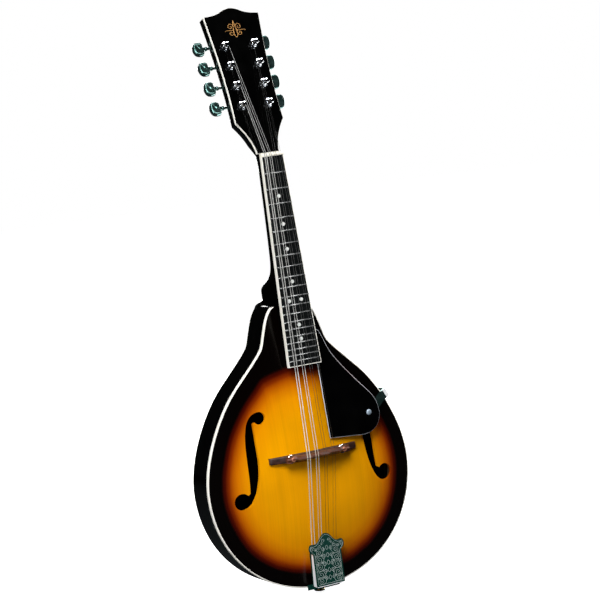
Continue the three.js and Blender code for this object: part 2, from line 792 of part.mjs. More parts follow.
function stringCord(i) {
  const [side, row] = STRING_POSTS[i];
  const radius = STRING_RADII[i];
  const toHead = neckGroupMatrix().multiply(headGroupMatrix());
  const inward = -side * (POST_WAIST + radius + 0.15);
  const post = new THREE.Vector3(inward, WINDING_Y, row * POST_PITCH);
  post.applyMatrix4(bankMatrix(side)).applyMatrix4(toHead);
  const lift = radius + GAP;
  const overNut = new THREE.Vector3(stringPlaces(COURSE_AT_NUT, PAIR_AT_NUT)[i], NUT_TOP - lift, 2);
  overNut.applyMatrix4(neckGroupMatrix());
  const saddleX = stringPlaces(COURSE_AT_SADDLE, PAIR_AT_SADDLE)[i];
  const overSaddle = new THREE.Vector3(saddleX, SADDLE_TOP_Y - lift, BRIDGE_Z);
  const hook = new THREE.Vector3(stringPlaces(COURSE_AT_TAIL, PAIR_AT_TAIL)[i], HOOK_STRING_Y, HOOK_Z + GAP);
  return cord([post, overNut, overSaddle, hook], radius);
}

// ---------------------------------------------------------------- scene graph

const mandolin = new THREE.Group();
const body = new THREE.Group();
const neckGroup = new THREE.Group();
const headGroup = new THREE.Group();
neckGroup.rotation.x = -NECK_ANGLE;
neckGroup.position.copy(NUT_POINT);
headGroup.rotation.x = -HEAD_ANGLE;
headGroup.position.set(0, HEAD_SETBACK, 0);
neckGroup.add(headGroup);
body.add(neckGroup);
mandolin.add(body);

const HANGER_IN_HEAD = new THREE.Vector3(0, 8, 26);
const hanger = HANGER_IN_HEAD.clone().applyMatrix4(headGroupMatrix()).applyMatrix4(neckGroupMatrix());
body.position.copy(hanger).negate();

function place(parent, name, geometry, material, x = 0, y = 0, z = 0) {
  const mesh = new THREE.Mesh(geometry, material);
  mesh.name = name;
  mesh.position.set(x, y, z);
  parent.add(mesh);
  return mesh;
}

place(body, 'soundboard', soundboard(), sunburst);
place(body, 'back_plate', backPlate(), blackLacquer);
place(body, 'ribs', ribs(), blackLacquer);
place(body, 'top_binding', topBinding(), cream);
place(body, 'back_binding', backBinding(), cream);
place(body, 'top_lining', topLining(), bareWood);
place(body, 'back_lining', backLining(), bareWood);
place(body, 'tail_block', endBlock(26, 0, 19), bareWood);
place(body, 'head_block', endBlock(30, 303, BODY_TOP_Z), bareWood);
place(body, 'tone_bar_treble', toneBar(1), bareWood);
place(body, 'tone_bar_bass', toneBar(-1), bareWood);

place(neckGroup, 'neck', neck(), blackLacquer);
place(neckGroup, 'neck_rod', neckRod(), steel);
place(neckGroup, 'board_support', boardSupport(), blackLacquer);
place(neckGroup, 'fingerboard', fingerboard(), ebony);
place(neckGroup, 'fingerboard_binding', fingerboardBinding(), cream);
place(neckGroup, 'nut', nut(), bone);
place(neckGroup, 'pickguard', pickguard(), blackPlastic);
place(neckGroup, 'pickguard_screw', pickguardScrew(), chrome);
place(headGroup, 'headplate', headplate(), blackLacquer);
place(headGroup, 'headstock_binding', headstockBinding(), cream);

for (const [side, word] of [[-1, 'bass'], [1, 'treble']]) {
  const bank = new THREE.Group();
  bank.rotation.y = side * BANK_SPLAY;
  bank.position.set(side * POST_HALF, 0, POST_START);
  headGroup.add(bank);
  place(bank, `tuner_plate_${word}`, tunerPlate(), nickel);
  for (let i = 0; i < 4; i++) {
    const z = i * POST_PITCH;
    place(bank, `post_${word}_${i + 1}`, stringPost(), chrome, 0, 0, z);
    const geometry = tunerButton(BUTTON_ROLLS[i]);
    const button = place(bank, `button_${word}_${i + 1}`, geometry, chrome, 0, WORM_Y, z + WORM_RISE);
    if (side < 0) button.rotation.z = Math.PI;
  }
}

place(body, 'bridge_base', bridgeBase(), rosewood);
place(body, 'saddle', saddle(), rosewood);
for (const [side, word] of [[-1, 'bass'], [1, 'treble']]) {
  place(body, `bridge_stud_${word}`, bridgeStud(), brass, side * STUD_HALF, 0, BRIDGE_Z);
  place(body, `thumbwheel_${word}`, thumbwheel(), brass, side * STUD_HALF, 0, BRIDGE_Z);
}

place(body, 'tailpiece_base', tailpieceBase(), nickel);
place(body, 'tailpiece_cover', tailpieceCover(), nickel);
place(body, 'end_pin', endPin(), chrome);

const guardScrew = new THREE.Vector3(GUARD_SCREW.x, GUARD_FRONT, GUARD_SCREW.y);
guardScrew.applyMatrix4(neckGroupMatrix());
place(body, 'pickguard_bracket', pickguardBracket(), chrome, guardScrew.x, 0, guardScrew.z);

STRING_RADII.forEach((radius, i) => {
  place(body, `string_${i + 1}`, stringCord(i), radius > LARGEST_PLAIN ? bronzeWire : steel);
});

export default mandolin;
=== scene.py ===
"""Looks of an arched mandolin with f-holes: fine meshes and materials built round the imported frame.

Lengths are millimetres until a mesh is made. Each piece is drawn in the frame that it belongs to:
the body (x to the treble side, y backwards from the rim's front edge, z up from the bottom edge),
the neck (origin at the nut's front edge, on the fingerboard), the headstock (origin under the nut,
on the headplate's face) or one of the two tuner banks.
"""

import json
from math import copysign, cos, pi, radians, sin, sqrt

import bmesh
import bpy
import numpy as np
from mathutils import Matrix, Vector
from mathutils.geometry import delaunay_2d_cdt, interpolate_bezier

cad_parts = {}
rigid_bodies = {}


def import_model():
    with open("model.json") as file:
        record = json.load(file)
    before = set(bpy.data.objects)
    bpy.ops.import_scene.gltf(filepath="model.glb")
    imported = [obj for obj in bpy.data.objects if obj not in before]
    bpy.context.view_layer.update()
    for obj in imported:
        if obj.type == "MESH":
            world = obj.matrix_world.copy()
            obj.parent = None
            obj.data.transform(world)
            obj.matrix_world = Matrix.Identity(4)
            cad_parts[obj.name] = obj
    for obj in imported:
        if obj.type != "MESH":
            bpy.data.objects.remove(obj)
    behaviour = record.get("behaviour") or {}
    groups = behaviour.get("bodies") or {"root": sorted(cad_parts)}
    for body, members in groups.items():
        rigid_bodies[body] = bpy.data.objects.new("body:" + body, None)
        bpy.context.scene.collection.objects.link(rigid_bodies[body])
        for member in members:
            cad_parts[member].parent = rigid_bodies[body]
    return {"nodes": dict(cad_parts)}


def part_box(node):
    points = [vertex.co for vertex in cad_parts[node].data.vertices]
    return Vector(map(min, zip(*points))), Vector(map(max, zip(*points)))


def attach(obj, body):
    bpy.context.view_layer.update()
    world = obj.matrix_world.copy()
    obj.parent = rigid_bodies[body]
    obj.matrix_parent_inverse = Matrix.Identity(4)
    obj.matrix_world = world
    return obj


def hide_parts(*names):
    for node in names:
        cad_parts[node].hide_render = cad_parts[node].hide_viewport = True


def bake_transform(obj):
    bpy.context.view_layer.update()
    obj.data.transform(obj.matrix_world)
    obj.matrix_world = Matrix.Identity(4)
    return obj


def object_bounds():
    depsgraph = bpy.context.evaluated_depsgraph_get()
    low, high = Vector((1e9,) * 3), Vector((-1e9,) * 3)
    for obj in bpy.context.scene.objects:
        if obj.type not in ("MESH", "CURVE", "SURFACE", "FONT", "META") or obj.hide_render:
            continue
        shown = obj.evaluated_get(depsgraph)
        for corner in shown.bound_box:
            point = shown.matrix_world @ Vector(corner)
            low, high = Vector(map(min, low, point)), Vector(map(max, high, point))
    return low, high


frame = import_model()
cad_low, cad_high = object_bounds()

# ---------------- driving dimensions

MM = 0.001
SHARP = 35
SCALE_LENGTH = 352.4
NECK_ANGLE = radians(3.84)
HEAD_ANGLE = radians(13.7)
NUT_POINT = (0, -7.35, 516)
HEAD_SETBACK = 7.9
POST_HALF = 17.8
POST_START = 65.8
POST_PITCH = 25.3
BANK_SPLAY = radians(1.2)

RIB_DEPTH = 43
PLATE_EDGE = 4
RIB_WALL = 2.4
BINDING = 1.5
BACK_BINDING = 1.8
FRONT_ARCH = 15.5
BACK_ARCH = 12
ARCH_POWER = 1.4
ARCH_CENTRE = 130
NECK_JOINT = 339.4
BODY_TOP = 341
F_HOLE_SHIFTS = (-0.6, 3)
UPPER_EYE = (60.3, 214.2, 7.4)
LOWER_EYE = (94.7, 120.6, 9.8)
BURST_REACH = 157
EDGE_STEPS = 720
EDGE_SMOOTHING = 37

BOARD_THICK = 5.2
NUT_HALF = 14.25
BOARD_SPREAD = 0.02906
FRETS = 20
DOTS = ((3, 0), (5, 0), (7, 0), (10, 0), (12, -8), (12, 8), (15, 0), (17, 0))
DOT_RADIUS = 2.3
STRIP_THICK = 0.8
STRIP_FRONT = 0.3
STRIP_BACK = 3.4
HEADPLATE_THICK = 1.8
HEAD_THICK = 14.5
WORM_Y = 20.8
WORM_RISE = 7.6
WINDING_Y = -5.8
POST_RADIUS = 3
POST_WAIST = 2.4
GEAR_TEETH = 14
WORM_TURNS = 6
BUTTON_ROLLS = (12, 10, 14, 11)

BRIDGE_Z = 162
STUD_HALF = 34
BASE_HALF = 57.4
BASE_HALF_THICK = 3.8
SADDLE_HALF = 41.5
SADDLE_HALF_THICK = 3.6
BASE_TOP = -21.8
SADDLE_BOTTOM = -24.9
SADDLE_TOP = -35.4
WHEEL_FRONT = -24.6
WHEEL_THICK = 2.2

STRING_RADII = (0.5, 0.5, 0.33, 0.33, 0.19, 0.19, 0.14, 0.14)
STRING_LIFT = 0.05
LARGEST_PLAIN = 0.3
COURSE_AT_NUT = 6.4
COURSE_AT_SADDLE = 11.2
COURSE_AT_TAIL = 9.3
PAIR_AT_NUT = 2.4
PAIR_AT_SADDLE = 3.4
PAIR_AT_TAIL = 4
TUBE_SIDES = 10
HEAD_RINGS = 7
BOARD_RINGS = 20
NUT_TOP = -1.4
NUT_WIDTH = 4.8
HOOK_Z = 33
HOOK_STRING_Y = -8.9
GUARD_FRONT = 12
GUARD_THICK = 1.8
GUARD_SCREW = (79.8, -318.4)
ARM_ANGLE = radians(27.6)
COVER_FRONT = -18.2
COVER_HALF = 19
COVER_LOW = 3.4
COVER_WAIST = 43.5
PIN_Y = 14

CAMERA_POINT = (-1.0403, -2.1266, 0.0115)
CAMERA_AIM = (0.0136, -0.02, -0.1946)
CAMERA_ROLL = radians(-7.28)
CAMERA_LENS = 119.95

rib_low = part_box("ribs")[0] / MM
SIDES = (("bass", -1), ("treble", 1))


def at(x, y, z):
    return Matrix.Translation((x, y, z))


def spin(angle, axis):
    return Matrix.Rotation(angle, 4, axis)


BODY = at(0, rib_low.y - PLATE_EDGE, rib_low.z)
NECK = BODY @ at(*NUT_POINT) @ spin(-NECK_ANGLE, "X")
HEAD = NECK @ at(0, HEAD_SETBACK, 0) @ spin(-HEAD_ANGLE, "X")


def bank(side):
    turn = spin(side * BANK_SPLAY, "Y")
    return HEAD @ at(side * POST_HALF, 0, POST_START) @ turn


# ---------------- plan outlines


def path(start, *legs, steps=16):
    """Points along a plan path. A leg of one point is straight, and a leg of three is a Bezier curve."""
    points = [Vector(start)]
    for leg in legs:
        if len(leg) == 1:
            points.append(Vector(leg[0]))
            continue
        knots = [points[-1].to_3d(), *(Vector(p).to_3d() for p in leg)]
        bent = interpolate_bezier(knots[0], knots[1], knots[2], knots[3], steps + 1)
        points += [p.to_2d() for p in bent[1:]]
    return points


def mirrored(right):
    """A closed outline from its right half, which runs from the centreline back to it."""
    left = [Vector((-p.x, p.y)) for p in reversed(right) if p.x > 1e-6]
    return right + left


def circle(x, z, radius):
    turns = [2 * pi * i / 40 for i in range(40)]
    return [Vector((x + radius * cos(t), z + radius * sin(t))) for t in turns]


def inset(outline, distance):
    """Moves a counter-clockwise outline inwards by a constant distance."""
    moved = []
    for i, point in enumerate(outline):
        one = (point - outline[i - 1]).normalized()
        two = (outline[(i + 1) % len(outline)] - point).normalized()
        normal = Vector((-one.y - two.y, one.x + two.x)).normalized()
        stretch = 1 / max(normal.dot(Vector((-one.y, one.x))), 0.5)
        moved.append(point + normal * distance * stretch)
    return moved


BODY_OUTLINE = mirrored(path(
    (0, 0),
    [(77, 0), (134.4, 58), (134.4, 133.5)],
    [(134.4, 171), (113.7, 213.6), (92.7, 240.5)],
    [(80, 256.7), (51, 281.5), (43.7, 293.5)],
    [(38.4, 304), (34.5, 336), (20.5, 341)],
    steps=36,
))
PLATE_OUTLINE = inset(BODY_OUTLINE, BINDING)
HEAD_OUTLINE = mirrored(path(
    (NUT_HALF, 5.6),
    [(15.5, 22), (24, 36), (31.3, 45.5)],
    [(29.2, 92), (31.5, 130), (36.3, 180.6)],
    [(30.5, 181.4), (22.5, 181.5), (16, 184.5)],
    [(10.4, 187.1), (6, 189.7), (0, 189.7)],
))


def plate_shares(xs, zs):
    """How far each point is from the arch's centre (0) to the soundboard's edge (1)."""
    edge = np.array([(p.x, p.y - ARCH_CENTRE) for p in PLATE_OUTLINE])
    angles = np.arctan2(edge[:, 0], edge[:, 1])
    turns = np.linspace(-pi, pi, EDGE_STEPS, endpoint=False)
    radii = np.interp(turns, angles, np.hypot(edge[:, 0], edge[:, 1]), period=2 * pi)
    near = np.hanning(EDGE_SMOOTHING)
    wrapped = np.pad(radii, EDGE_SMOOTHING // 2, mode="wrap")
    radii = np.convolve(wrapped, near / near.sum(), mode="valid")
    here = np.arctan2(xs, zs - ARCH_CENTRE)
    reach = np.interp(here, turns, radii, period=2 * pi)
    return np.hypot(xs, zs - ARCH_CENTRE) / reach, reach


def arch(height, shares):
    """How high an arched plate stands above its edge."""
    return height / 2 * (1 + np.cos(np.pi * np.clip(shares, 0, 1) ** ARCH_POWER))


def front_height(x, z):
    """Y of the soundboard's face at one plan point."""
    share = plate_shares(np.array([x], float), np.array([z], float))[0]
    return -float(arch(FRONT_ARCH, share)[0])


# ---------------- meshes


def skin(loops, ring=False):
    """Equal closed loops of points joined one to the next, as (points, faces)."""
    count = len(loops[0])
    points = [tuple(p) for loop in loops for p in loop]
    faces = []
    for i in range(len(loops) if ring else len(loops) - 1):
        low, high = i * count, (i + 1) % len(loops) * count
        for j in range(count):
            k = (j + 1) % count
            faces.append((low + j, low + k, high + k, high + j))
    if not ring:
        faces.append(tuple(reversed(range(count))))
        faces.append(tuple(range(len(points) - count, len(points))))
    return points, faces


def combine(*solids):
    """Several (points, faces) as one."""
    points, faces = [], []
    for more_points, more_faces in solids:
        offset = len(points)
        points += more_points
        faces += [tuple(offset + i for i in face) for face in more_faces]
    return points, faces


def placed(solid, where):
    points, faces = solid
    return [tuple(where @ Vector(p)) for p in points], faces


def lifted(profile, by):
    """A profile whose depths are counted from another place."""
    return [(first, y + by) for first, y in profile]


def at_depth(outline, y):
    """A plan outline as a loop of points at one depth."""
    return [(p.x, y, p.y) for p in outline]


def edged(outline, profile):
    """A plate with a shaped edge. The profile's (inset, y) pairs run from the back face to the front."""
    return skin([at_depth(inset(outline, distance), y) for distance, y in profile])


def rim(outline, profile):
    """A closed hoop along an outline. The profile's (inset, y) pairs close on themselves."""
    return skin([at_depth(inset(outline, distance), y) for distance, y in profile], ring=True)


def turned(profile, sides=32, ring=False, lobes=None):
    """A solid turned about Y from (radius, y) pairs. lobes(angle, row) scales the radius."""
    loops = []
    for row, (radius, y) in enumerate(profile):
        loop = []
        for i in range(sides):
            angle = 2 * pi * i / sides
            here = radius * (lobes(angle, row) if lobes else 1)
            loop.append((here * cos(angle), y, here * sin(angle)))
        loops.append(loop)
    return skin(loops, ring=ring)


def tube(points, radius, sides=TUBE_SIDES):
    """A round bar along points, with frames carried from one point to the next."""
    points = [Vector(p) for p in points]
    loops = []
    across = None
    for i, point in enumerate(points):
        along = (points[min(i + 1, len(points) - 1)] - points[max(i - 1, 0)]).normalized()
        if across is None:
            across = along.orthogonal().normalized()
        across = (across - along * across.dot(along)).normalized()
        third = along.cross(across)
        turns = [2 * pi * j / sides for j in range(sides)]
        loops.append([point + (across * cos(t) + third * sin(t)) * radius for t in turns])
    return skin(loops)


def inside(points, loop):
    """Which of an array of plan points lie inside a closed loop."""
    x, z = points[:, 0], points[:, 1]
    result = np.zeros(len(points), bool)
    for i, end in enumerate(loop):
        start = loop[i - 1]
        if start.y == end.y:
            continue
        crosses = (start.y > z) != (end.y > z)
        where = (end.x - start.x) * (z - start.y) / (end.y - start.y) + start.x
        result ^= crosses & (x < where)
    return result


def region(outline, holes, spacing=None):
    """Plan triangles that fill an outline round its holes, with a triangular grid of inner points."""
    loops = [outline, *holes]
    points = [tuple(p) for loop in loops for p in loop]
    edges = []
    offset = 0
    for loop in loops:
        edges += [(offset + i, offset + (i + 1) % len(loop)) for i in range(len(loop))]
        offset += len(loop)
    if spacing:
        low = np.min(points[:len(outline)], axis=0)
        high = np.max(points[:len(outline)], axis=0)
        rows = np.arange(low[1], high[1], spacing * sqrt(3) / 2)
        grid = np.array([
            (x + (i % 2) * spacing / 2, z)
            for i, z in enumerate(rows)
            for x in np.arange(low[0], high[0], spacing)
        ])
        grid = grid[inside(grid, outline)]
        clear = np.ones(len(grid), bool)
        for edge in points:
            clear &= np.hypot(grid[:, 0] - edge[0], grid[:, 1] - edge[1]) > spacing * 0.6
        points += [tuple(p) for p in grid[clear]]
    made = delaunay_2d_cdt([Vector(p) for p in points], edges, [], 0, 1e-5)
    corners = [tuple(p) for p in made[0]]
    centres = np.array([np.mean([corners[i] for i in face], axis=0) for face in made[2]])
    keep = inside(centres, outline)
    for hole in holes:
        keep &= ~inside(centres, hole)
    faces = [tuple(face) for face, kept in zip(made[2], keep) if kept]
    used = sorted({i for face in faces for i in face})
    renumber = {old: new for new, old in enumerate(used)}
    return [corners[i] for i in used], [tuple(renumber[i] for i in face) for face in faces]


def thick(flat, front, back):
    """A plan region given a front and a back face. front and back take arrays of x and z."""
    plan, faces = flat
    xs, zs = np.array(plan).T
    flat_y = np.zeros(len(plan))
    near, far = front(xs, zs) + flat_y, back(xs, zs) + flat_y
    count = len(plan)
    points = [(x, y, z) for x, y, z in zip(xs, near, zs)]
    points += [(x, y, z) for x, y, z in zip(xs, far, zs)]
    sides = {}
    for face in faces:
        for a, b in zip(face, face[1:] + face[:1]):
            sides[(a, b)] = True
    walls = [(b, a, a + count, b + count) for a, b in sides if (b, a) not in sides]
    return points, faces + [tuple(i + count for i in reversed(face)) for face in faces] + walls


def shown(name, data):
    made = bpy.data.objects.new(name, data)
    bpy.context.scene.collection.objects.link(made)
    return made


def piece(name, solid, where, look, body="instrument", stands_for=(), sharp=SHARP, more=None):
    """Makes an object of a solid, in the row frame, riding on a CAD body.

    more holds further looks, and last the number of each face's look.
    """
    points, faces = solid
    mesh = bpy.data.meshes.new(name)
    to_row = Matrix.Scale(MM, 4) @ where
    mesh.from_pydata([to_row @ Vector(p) for p in points], [], faces)
    mesh.materials.append(look)
    if more:
        *extras, numbers = more
        for extra in extras:
            mesh.materials.append(extra)
        mesh.polygons.foreach_set("material_index", numbers)
    work = bmesh.new()
    work.from_mesh(mesh)
    bmesh.ops.remove_doubles(work, verts=work.verts, dist=1e-7)
    bmesh.ops.recalc_face_normals(work, faces=work.faces)
    work.to_mesh(mesh)
    work.free()
    mesh.shade_smooth()
    mesh.set_sharp_from_angle(angle=radians(sharp))
    made = shown(name, mesh)
    if stands_for:
        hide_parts(*stands_for)
    if body:
        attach(made, body)
    return made


def softened(made, width):
    """Rounds a piece's sharp edges."""
    bevel = made.modifiers.new("soft_edges", "BEVEL")
    bevel.width = width * MM
    bevel.segments = 2
    bevel.limit_method = "ANGLE"
    bevel.angle_limit = radians(40)
    bevel.harden_normals = True
    return made


# ---------------- materials


def add(tree, kind, values=None, **settings):
    """A shader node with its settings, and its inputs set or linked."""
    node = tree.nodes.new("ShaderNode" + kind)
    for key, value in settings.items():
        setattr(node, key, value)
    for socket, value in (values or {}).items():
        if isinstance(value, bpy.types.NodeSocket):
            tree.links.new(value, node.inputs[socket])
        else:
            node.inputs[socket].default_value = value
    return node


def noise(tree, stretch, detail=3.0, distortion=0.0):
    """A noise pattern in the row frame with stretch cells to the metre, or so many along x, y and z."""
    place = add(tree, "TexCoord").outputs["Object"]
    cells = stretch if isinstance(stretch, tuple) else (stretch,) * 3
    scaled = add(tree, "Mapping", {"Vector": place, "Scale": cells})
    values = {"Vector": scaled.outputs[0], "Scale": 1.0, "Detail": detail, "Distortion": distortion}
    return add(tree, "TexNoise", values).outputs["Fac"]


def ramp(tree, factor, stops):
    """A colour ramp from (position, colour) stops."""
    node = add(tree, "ValToRGB", {"Fac": factor})
    elements = node.color_ramp.elements
    while len(elements) < len(stops):
        elements.new(1.0)
    for element, (position, colour) in zip(elements, stops):
        element.position = position
        element.color = (*colour, 1.0)
    return node.outputs["Color"]


def spread(tree, factor, low, high):
    """A number from low to high as a pattern goes from 0.3 to 0.7."""
    values = {"Value": factor, "From Min": 0.3, "From Max": 0.7, "To Min": low, "To Max": high}
    return add(tree, "MapRange", values).outputs["Result"]


def dented(tree, shader, factor, strength, depth):
    """Bump of a real depth in millimetres."""
    values = {"Height": factor, "Strength": strength, "Distance": depth * MM}
    tree.links.new(add(tree, "Bump", values).outputs["Normal"], shader.inputs["Normal"])


def surfaced(tree, shader, colour, roughness):
    tree.links.new(colour, shader.inputs["Base Color"])
    tree.links.new(roughness, shader.inputs["Roughness"])


def blank(name, slot, **sockets):
    """A material with its Principled shader's sockets set."""
    made = bpy.data.materials.new(name)
    made.use_nodes = True
    made["slot"] = slot
    shader = made.node_tree.nodes["Principled BSDF"]
    for socket, value in sockets.items():
        shader.inputs[socket.replace("_", " ")].default_value = value
    return made, made.node_tree, shader


def two_tone(name, slot, dark, light, stretch, rough, bump=None, distortion=0.0, **sockets):
    """A material whose colour and roughness wander between two values over a stretched noise.

    bump is its own noise's stretch, a strength and a depth.
    """
    made, tree, shader = blank(name, slot, **sockets)
    pattern = noise(tree, stretch, 4.0, distortion)
    colour = ramp(tree, pattern, [(0.3, dark), (0.7, light)])
    surfaced(tree, shader, colour, spread(tree, pattern, *rough))
    if bump:
        cells, strength, depth = bump
        dented(tree, shader, noise(tree, cells, 2.0), strength, depth)
    return made


def sunburst_look():
    made, tree, shader = blank(
        "sunburst_lacquer", "sunburst_spruce", Coat_Weight=0.12, Coat_Roughness=0.06, IOR=1.3,
    )
    burst = add(tree, "Attribute", attribute_name="burst").outputs["Fac"]
    wander = noise(tree, (26, 26, 18), 2.0)
    nudge = add(tree, "MapRange", {"Value": wander, "To Min": -0.012, "To Max": 0.012})
    place = add(tree, "Math", {0: burst, 1: nudge.outputs["Result"]}, operation="ADD").outputs[0]
    colour = ramp(tree, place, [
        (0.0, (0.83, 0.345, 0.0)),
        (0.5, (0.79, 0.32, 0.0)),
        (0.65, (0.75, 0.27, 0.0)),
        (0.73, (0.61, 0.17, 0.0)),
        (0.78, (0.42, 0.085, 0.0)),
        (0.815, (0.21, 0.024, 0.0)),
        (0.85, (0.06, 0.003, 0.0)),
        (0.885, (0.001, 0.0003, 0.0002)),
    ])
    lines = noise(tree, (820, 60, 7), 3.0, 0.3)
    bands = noise(tree, (95, 30, 3), 2.0)
    blotch = noise(tree, (22, 22, 14), 3.0)
    shade = spread(tree, lines, 0.95, 1.03)
    for pattern, low, high in ((bands, 0.97, 1.03), (blotch, 0.93, 1.05)):
        both = {0: shade, 1: spread(tree, pattern, low, high)}
        shade = add(tree, "Math", both, operation="MULTIPLY").outputs[0]
    grained = add(tree, "VectorMath", {0: colour, "Scale": shade}, operation="SCALE").outputs[0]
    surfaced(tree, shader, grained, spread(tree, lines, 0.26, 0.18))
    dented(tree, shader, lines, 0.25, 0.02)
    return made


def wound_look(name, dark, light):
    """Fine wire wound on a string: rings along its length."""
    made, tree, shader = blank(name, "wound_string", Metallic=0.3)
    place = add(tree, "TexCoord").outputs["Object"]
    wave = add(tree, "TexWave", {"Vector": place, "Scale": 620.0}, bands_direction="Z")
    wraps = wave.outputs["Fac"]
    colour = ramp(tree, wraps, [(0.2, dark), (0.7, light)])
    surfaced(tree, shader, colour, spread(tree, wraps, 0.42, 0.28))
    dented(tree, shader, wraps, 0.6, 0.08)
    return made


def pearl_look():
    made, tree, shader = blank("pearl", "bone", Roughness=0.18, Coat_Weight=0.6)
    pattern = noise(tree, (420, 420, 260), 3.0, 1.2)
    colour = ramp(tree, pattern, [
        (0.3, (0.74, 0.80, 0.84)),
        (0.5, (0.88, 0.87, 0.84)),
        (0.7, (0.70, 0.84, 0.78)),
    ])
    surfaced(tree, shader, colour, spread(tree, pattern, 0.12, 0.26))
    return made


BURST = sunburst_look()
BLACK = two_tone(
    "black_gloss_lacquer", "black_lacquer", (0.0002, 0.0002, 0.0002), (0.0006, 0.0006, 0.0006),
    (60, 60, 40), (0.08, 0.14), (300, 0.05, 0.02), Coat_Weight=0.12, Coat_Roughness=0.04, IOR=1.36,
)
CREAM = two_tone(
    "cream_binding_plastic", "cream_binding", (0.88, 0.85, 0.76), (0.96, 0.94, 0.88),
    (70, 70, 25), (0.22, 0.34), (500, 0.08, 0.02),
)
BARE = two_tone(
    "bare_spruce", "bare_wood", (0.30, 0.19, 0.10), (0.46, 0.31, 0.17),
    (500, 500, 14), (0.65, 0.8), ((700, 700, 30), 0.3, 0.05),
)
EBONY = two_tone(
    "dark_fingerboard", "ebonised_board", (0.0012, 0.0017, 0.0018), (0.0060, 0.0072, 0.0073),
    (900, 300, 22), (0.26, 0.4), ((1400, 1400, 60), 0.3, 0.04), distortion=0.6, IOR=1.3,
)
ROSEWOOD = two_tone(
    "rosewood", "rosewood", (0.020, 0.008, 0.006), (0.15, 0.046, 0.024),
    (70, 300, 300), (0.36, 0.52), ((90, 900, 900), 0.4, 0.06), distortion=1.2,
)
ROSEWOOD_DARK = two_tone(
    "dark_rosewood", "rosewood", (0.008, 0.004, 0.003), (0.060, 0.022, 0.015),
    (60, 420, 420), (0.36, 0.52), ((90, 900, 900), 0.4, 0.06), distortion=0.8,
)
BONE = two_tone(
    "bone", "bone", (0.80, 0.75, 0.62), (0.93, 0.90, 0.80),
    160, (0.3, 0.42), (700, 0.1, 0.02),
)
GUARD = two_tone(
    "black_guard_plastic", "black_plastic", (0.0003, 0.0003, 0.0004), (0.0008, 0.0008, 0.0009),
    40, (0.09, 0.16), ((900, 900, 120), 0.04, 0.01), IOR=1.38,
)
# Pale blue-white for the pickguard's bevel: a painted highlight.
GUARD_BEVEL_HIGHLIGHT = two_tone(
    "guard_bevel_painted_highlight", "black_plastic", (0.62, 0.66, 0.72), (0.74, 0.78, 0.84), 90, (0.3, 0.4),
)
CHROME = two_tone(
    "dark_chrome", "chrome", (0.03, 0.085, 0.075), (0.12, 0.21, 0.20),
    (60, 60, 160), (0.04, 0.1), (900, 0.02, 0.01), Metallic=0.85,
)
BRIGHT = two_tone(
    "bright_chrome", "chrome", (0.60, 0.64, 0.68), (0.90, 0.92, 0.95),
    160, (0.04, 0.1), (700, 0.06, 0.02), Metallic=1.0,
)
NICKEL = two_tone(
    "dark_nickel", "nickel", (0.003, 0.042, 0.031), (0.009, 0.066, 0.050),
    (70, 70, 55), (0.14, 0.26), (800, 0.06, 0.01), Metallic=0.35,
)
ENGRAVED = two_tone(
    "engraved_line", "nickel", (0.42, 0.52, 0.49), (0.80, 0.86, 0.84),
    300, (0.35, 0.5), Metallic=0.3,
)
# Near white and almost matt: a painted highlight for the bright edges of polished metal.
PAINTED_HIGHLIGHT_WHITE = two_tone(
    "painted_flange_highlight", "nickel", (0.90, 0.93, 0.97), (0.99, 0.99, 1.0),
    (90, 90, 60), (0.18, 0.3), (600, 0.05, 0.01), Metallic=0.1,
)
STEEL = two_tone(
    "plain_steel", "steel", (0.36, 0.36, 0.37), (0.56, 0.56, 0.57),
    (200, 200, 20), (0.22, 0.36), Metallic=1.0,
)
FRET = two_tone(
    "fret_wire", "steel", (0.38, 0.39, 0.39), (0.54, 0.55, 0.55),
    (200, 400, 400), (0.2, 0.32), Metallic=0.8,
)


def plain_look(name, dark, light):
    return two_tone(name, "plain_string", dark, light, (900, 900, 60), (0.3, 0.42), Metallic=0.9)


PLAIN = plain_look("plain_wire", (0.06, 0.058, 0.052), (0.12, 0.115, 0.10))
# Plain wire over the fingerboard, painted lighter: a painted highlight.
PLAIN_BOARD_HIGHLIGHT = plain_look("plain_wire_board_painted_highlight", (0.14, 0.14, 0.14), (0.26, 0.26, 0.25))
# Plain wire behind the nut, painted nearly black: painted shade.
PLAIN_HEAD_SHADED = plain_look("plain_wire_head_painted_shade", (0.004, 0.004, 0.004), (0.012, 0.012, 0.012))
WOUND = wound_look("wound_wire", (0.42, 0.39, 0.33), (1.0, 0.98, 0.9))
# Wound wire over the fingerboard, painted darker: painted shade.
WOUND_BOARD_SHADED = wound_look("wound_wire_board_painted_shade", (0.16, 0.16, 0.15), (0.62, 0.62, 0.60))
# Wound wire behind the nut and on the posts, painted darker: painted shade.
WOUND_HEAD_SHADED = wound_look("wound_wire_head_painted_shade", (0.08, 0.08, 0.08), (0.30, 0.30, 0.29))
BRASS = two_tone(
    "brass", "brass", (0.50, 0.33, 0.12), (0.70, 0.50, 0.22),
    150, (0.2, 0.34), (900, 0.08, 0.01), Metallic=1.0,
)
COPPER = two_tone(
    "copper_insert", "brass", (0.42, 0.15, 0.09), (0.62, 0.27, 0.17),
    300, (0.25, 0.4), (900, 0.1, 0.01), Metallic=0.6,
)
# Pale blue and mostly matt: the screw head's reflection painted into its colour.
SCREW_PAINTED_REFLECTION = two_tone(
    "screw_steel_painted_reflection", "steel", (0.26, 0.34, 0.42), (0.44, 0.53, 0.61),
    500, (0.3, 0.45), (900, 0.1, 0.01), Metallic=0.3,
)
GOLD = two_tone(
    "gold_leaf", "brass", (0.36, 0.17, 0.045), (0.52, 0.27, 0.08),
    220, (0.35, 0.5), Metallic=0.6,
)
PEARL = pearl_look()

# ---------------- body

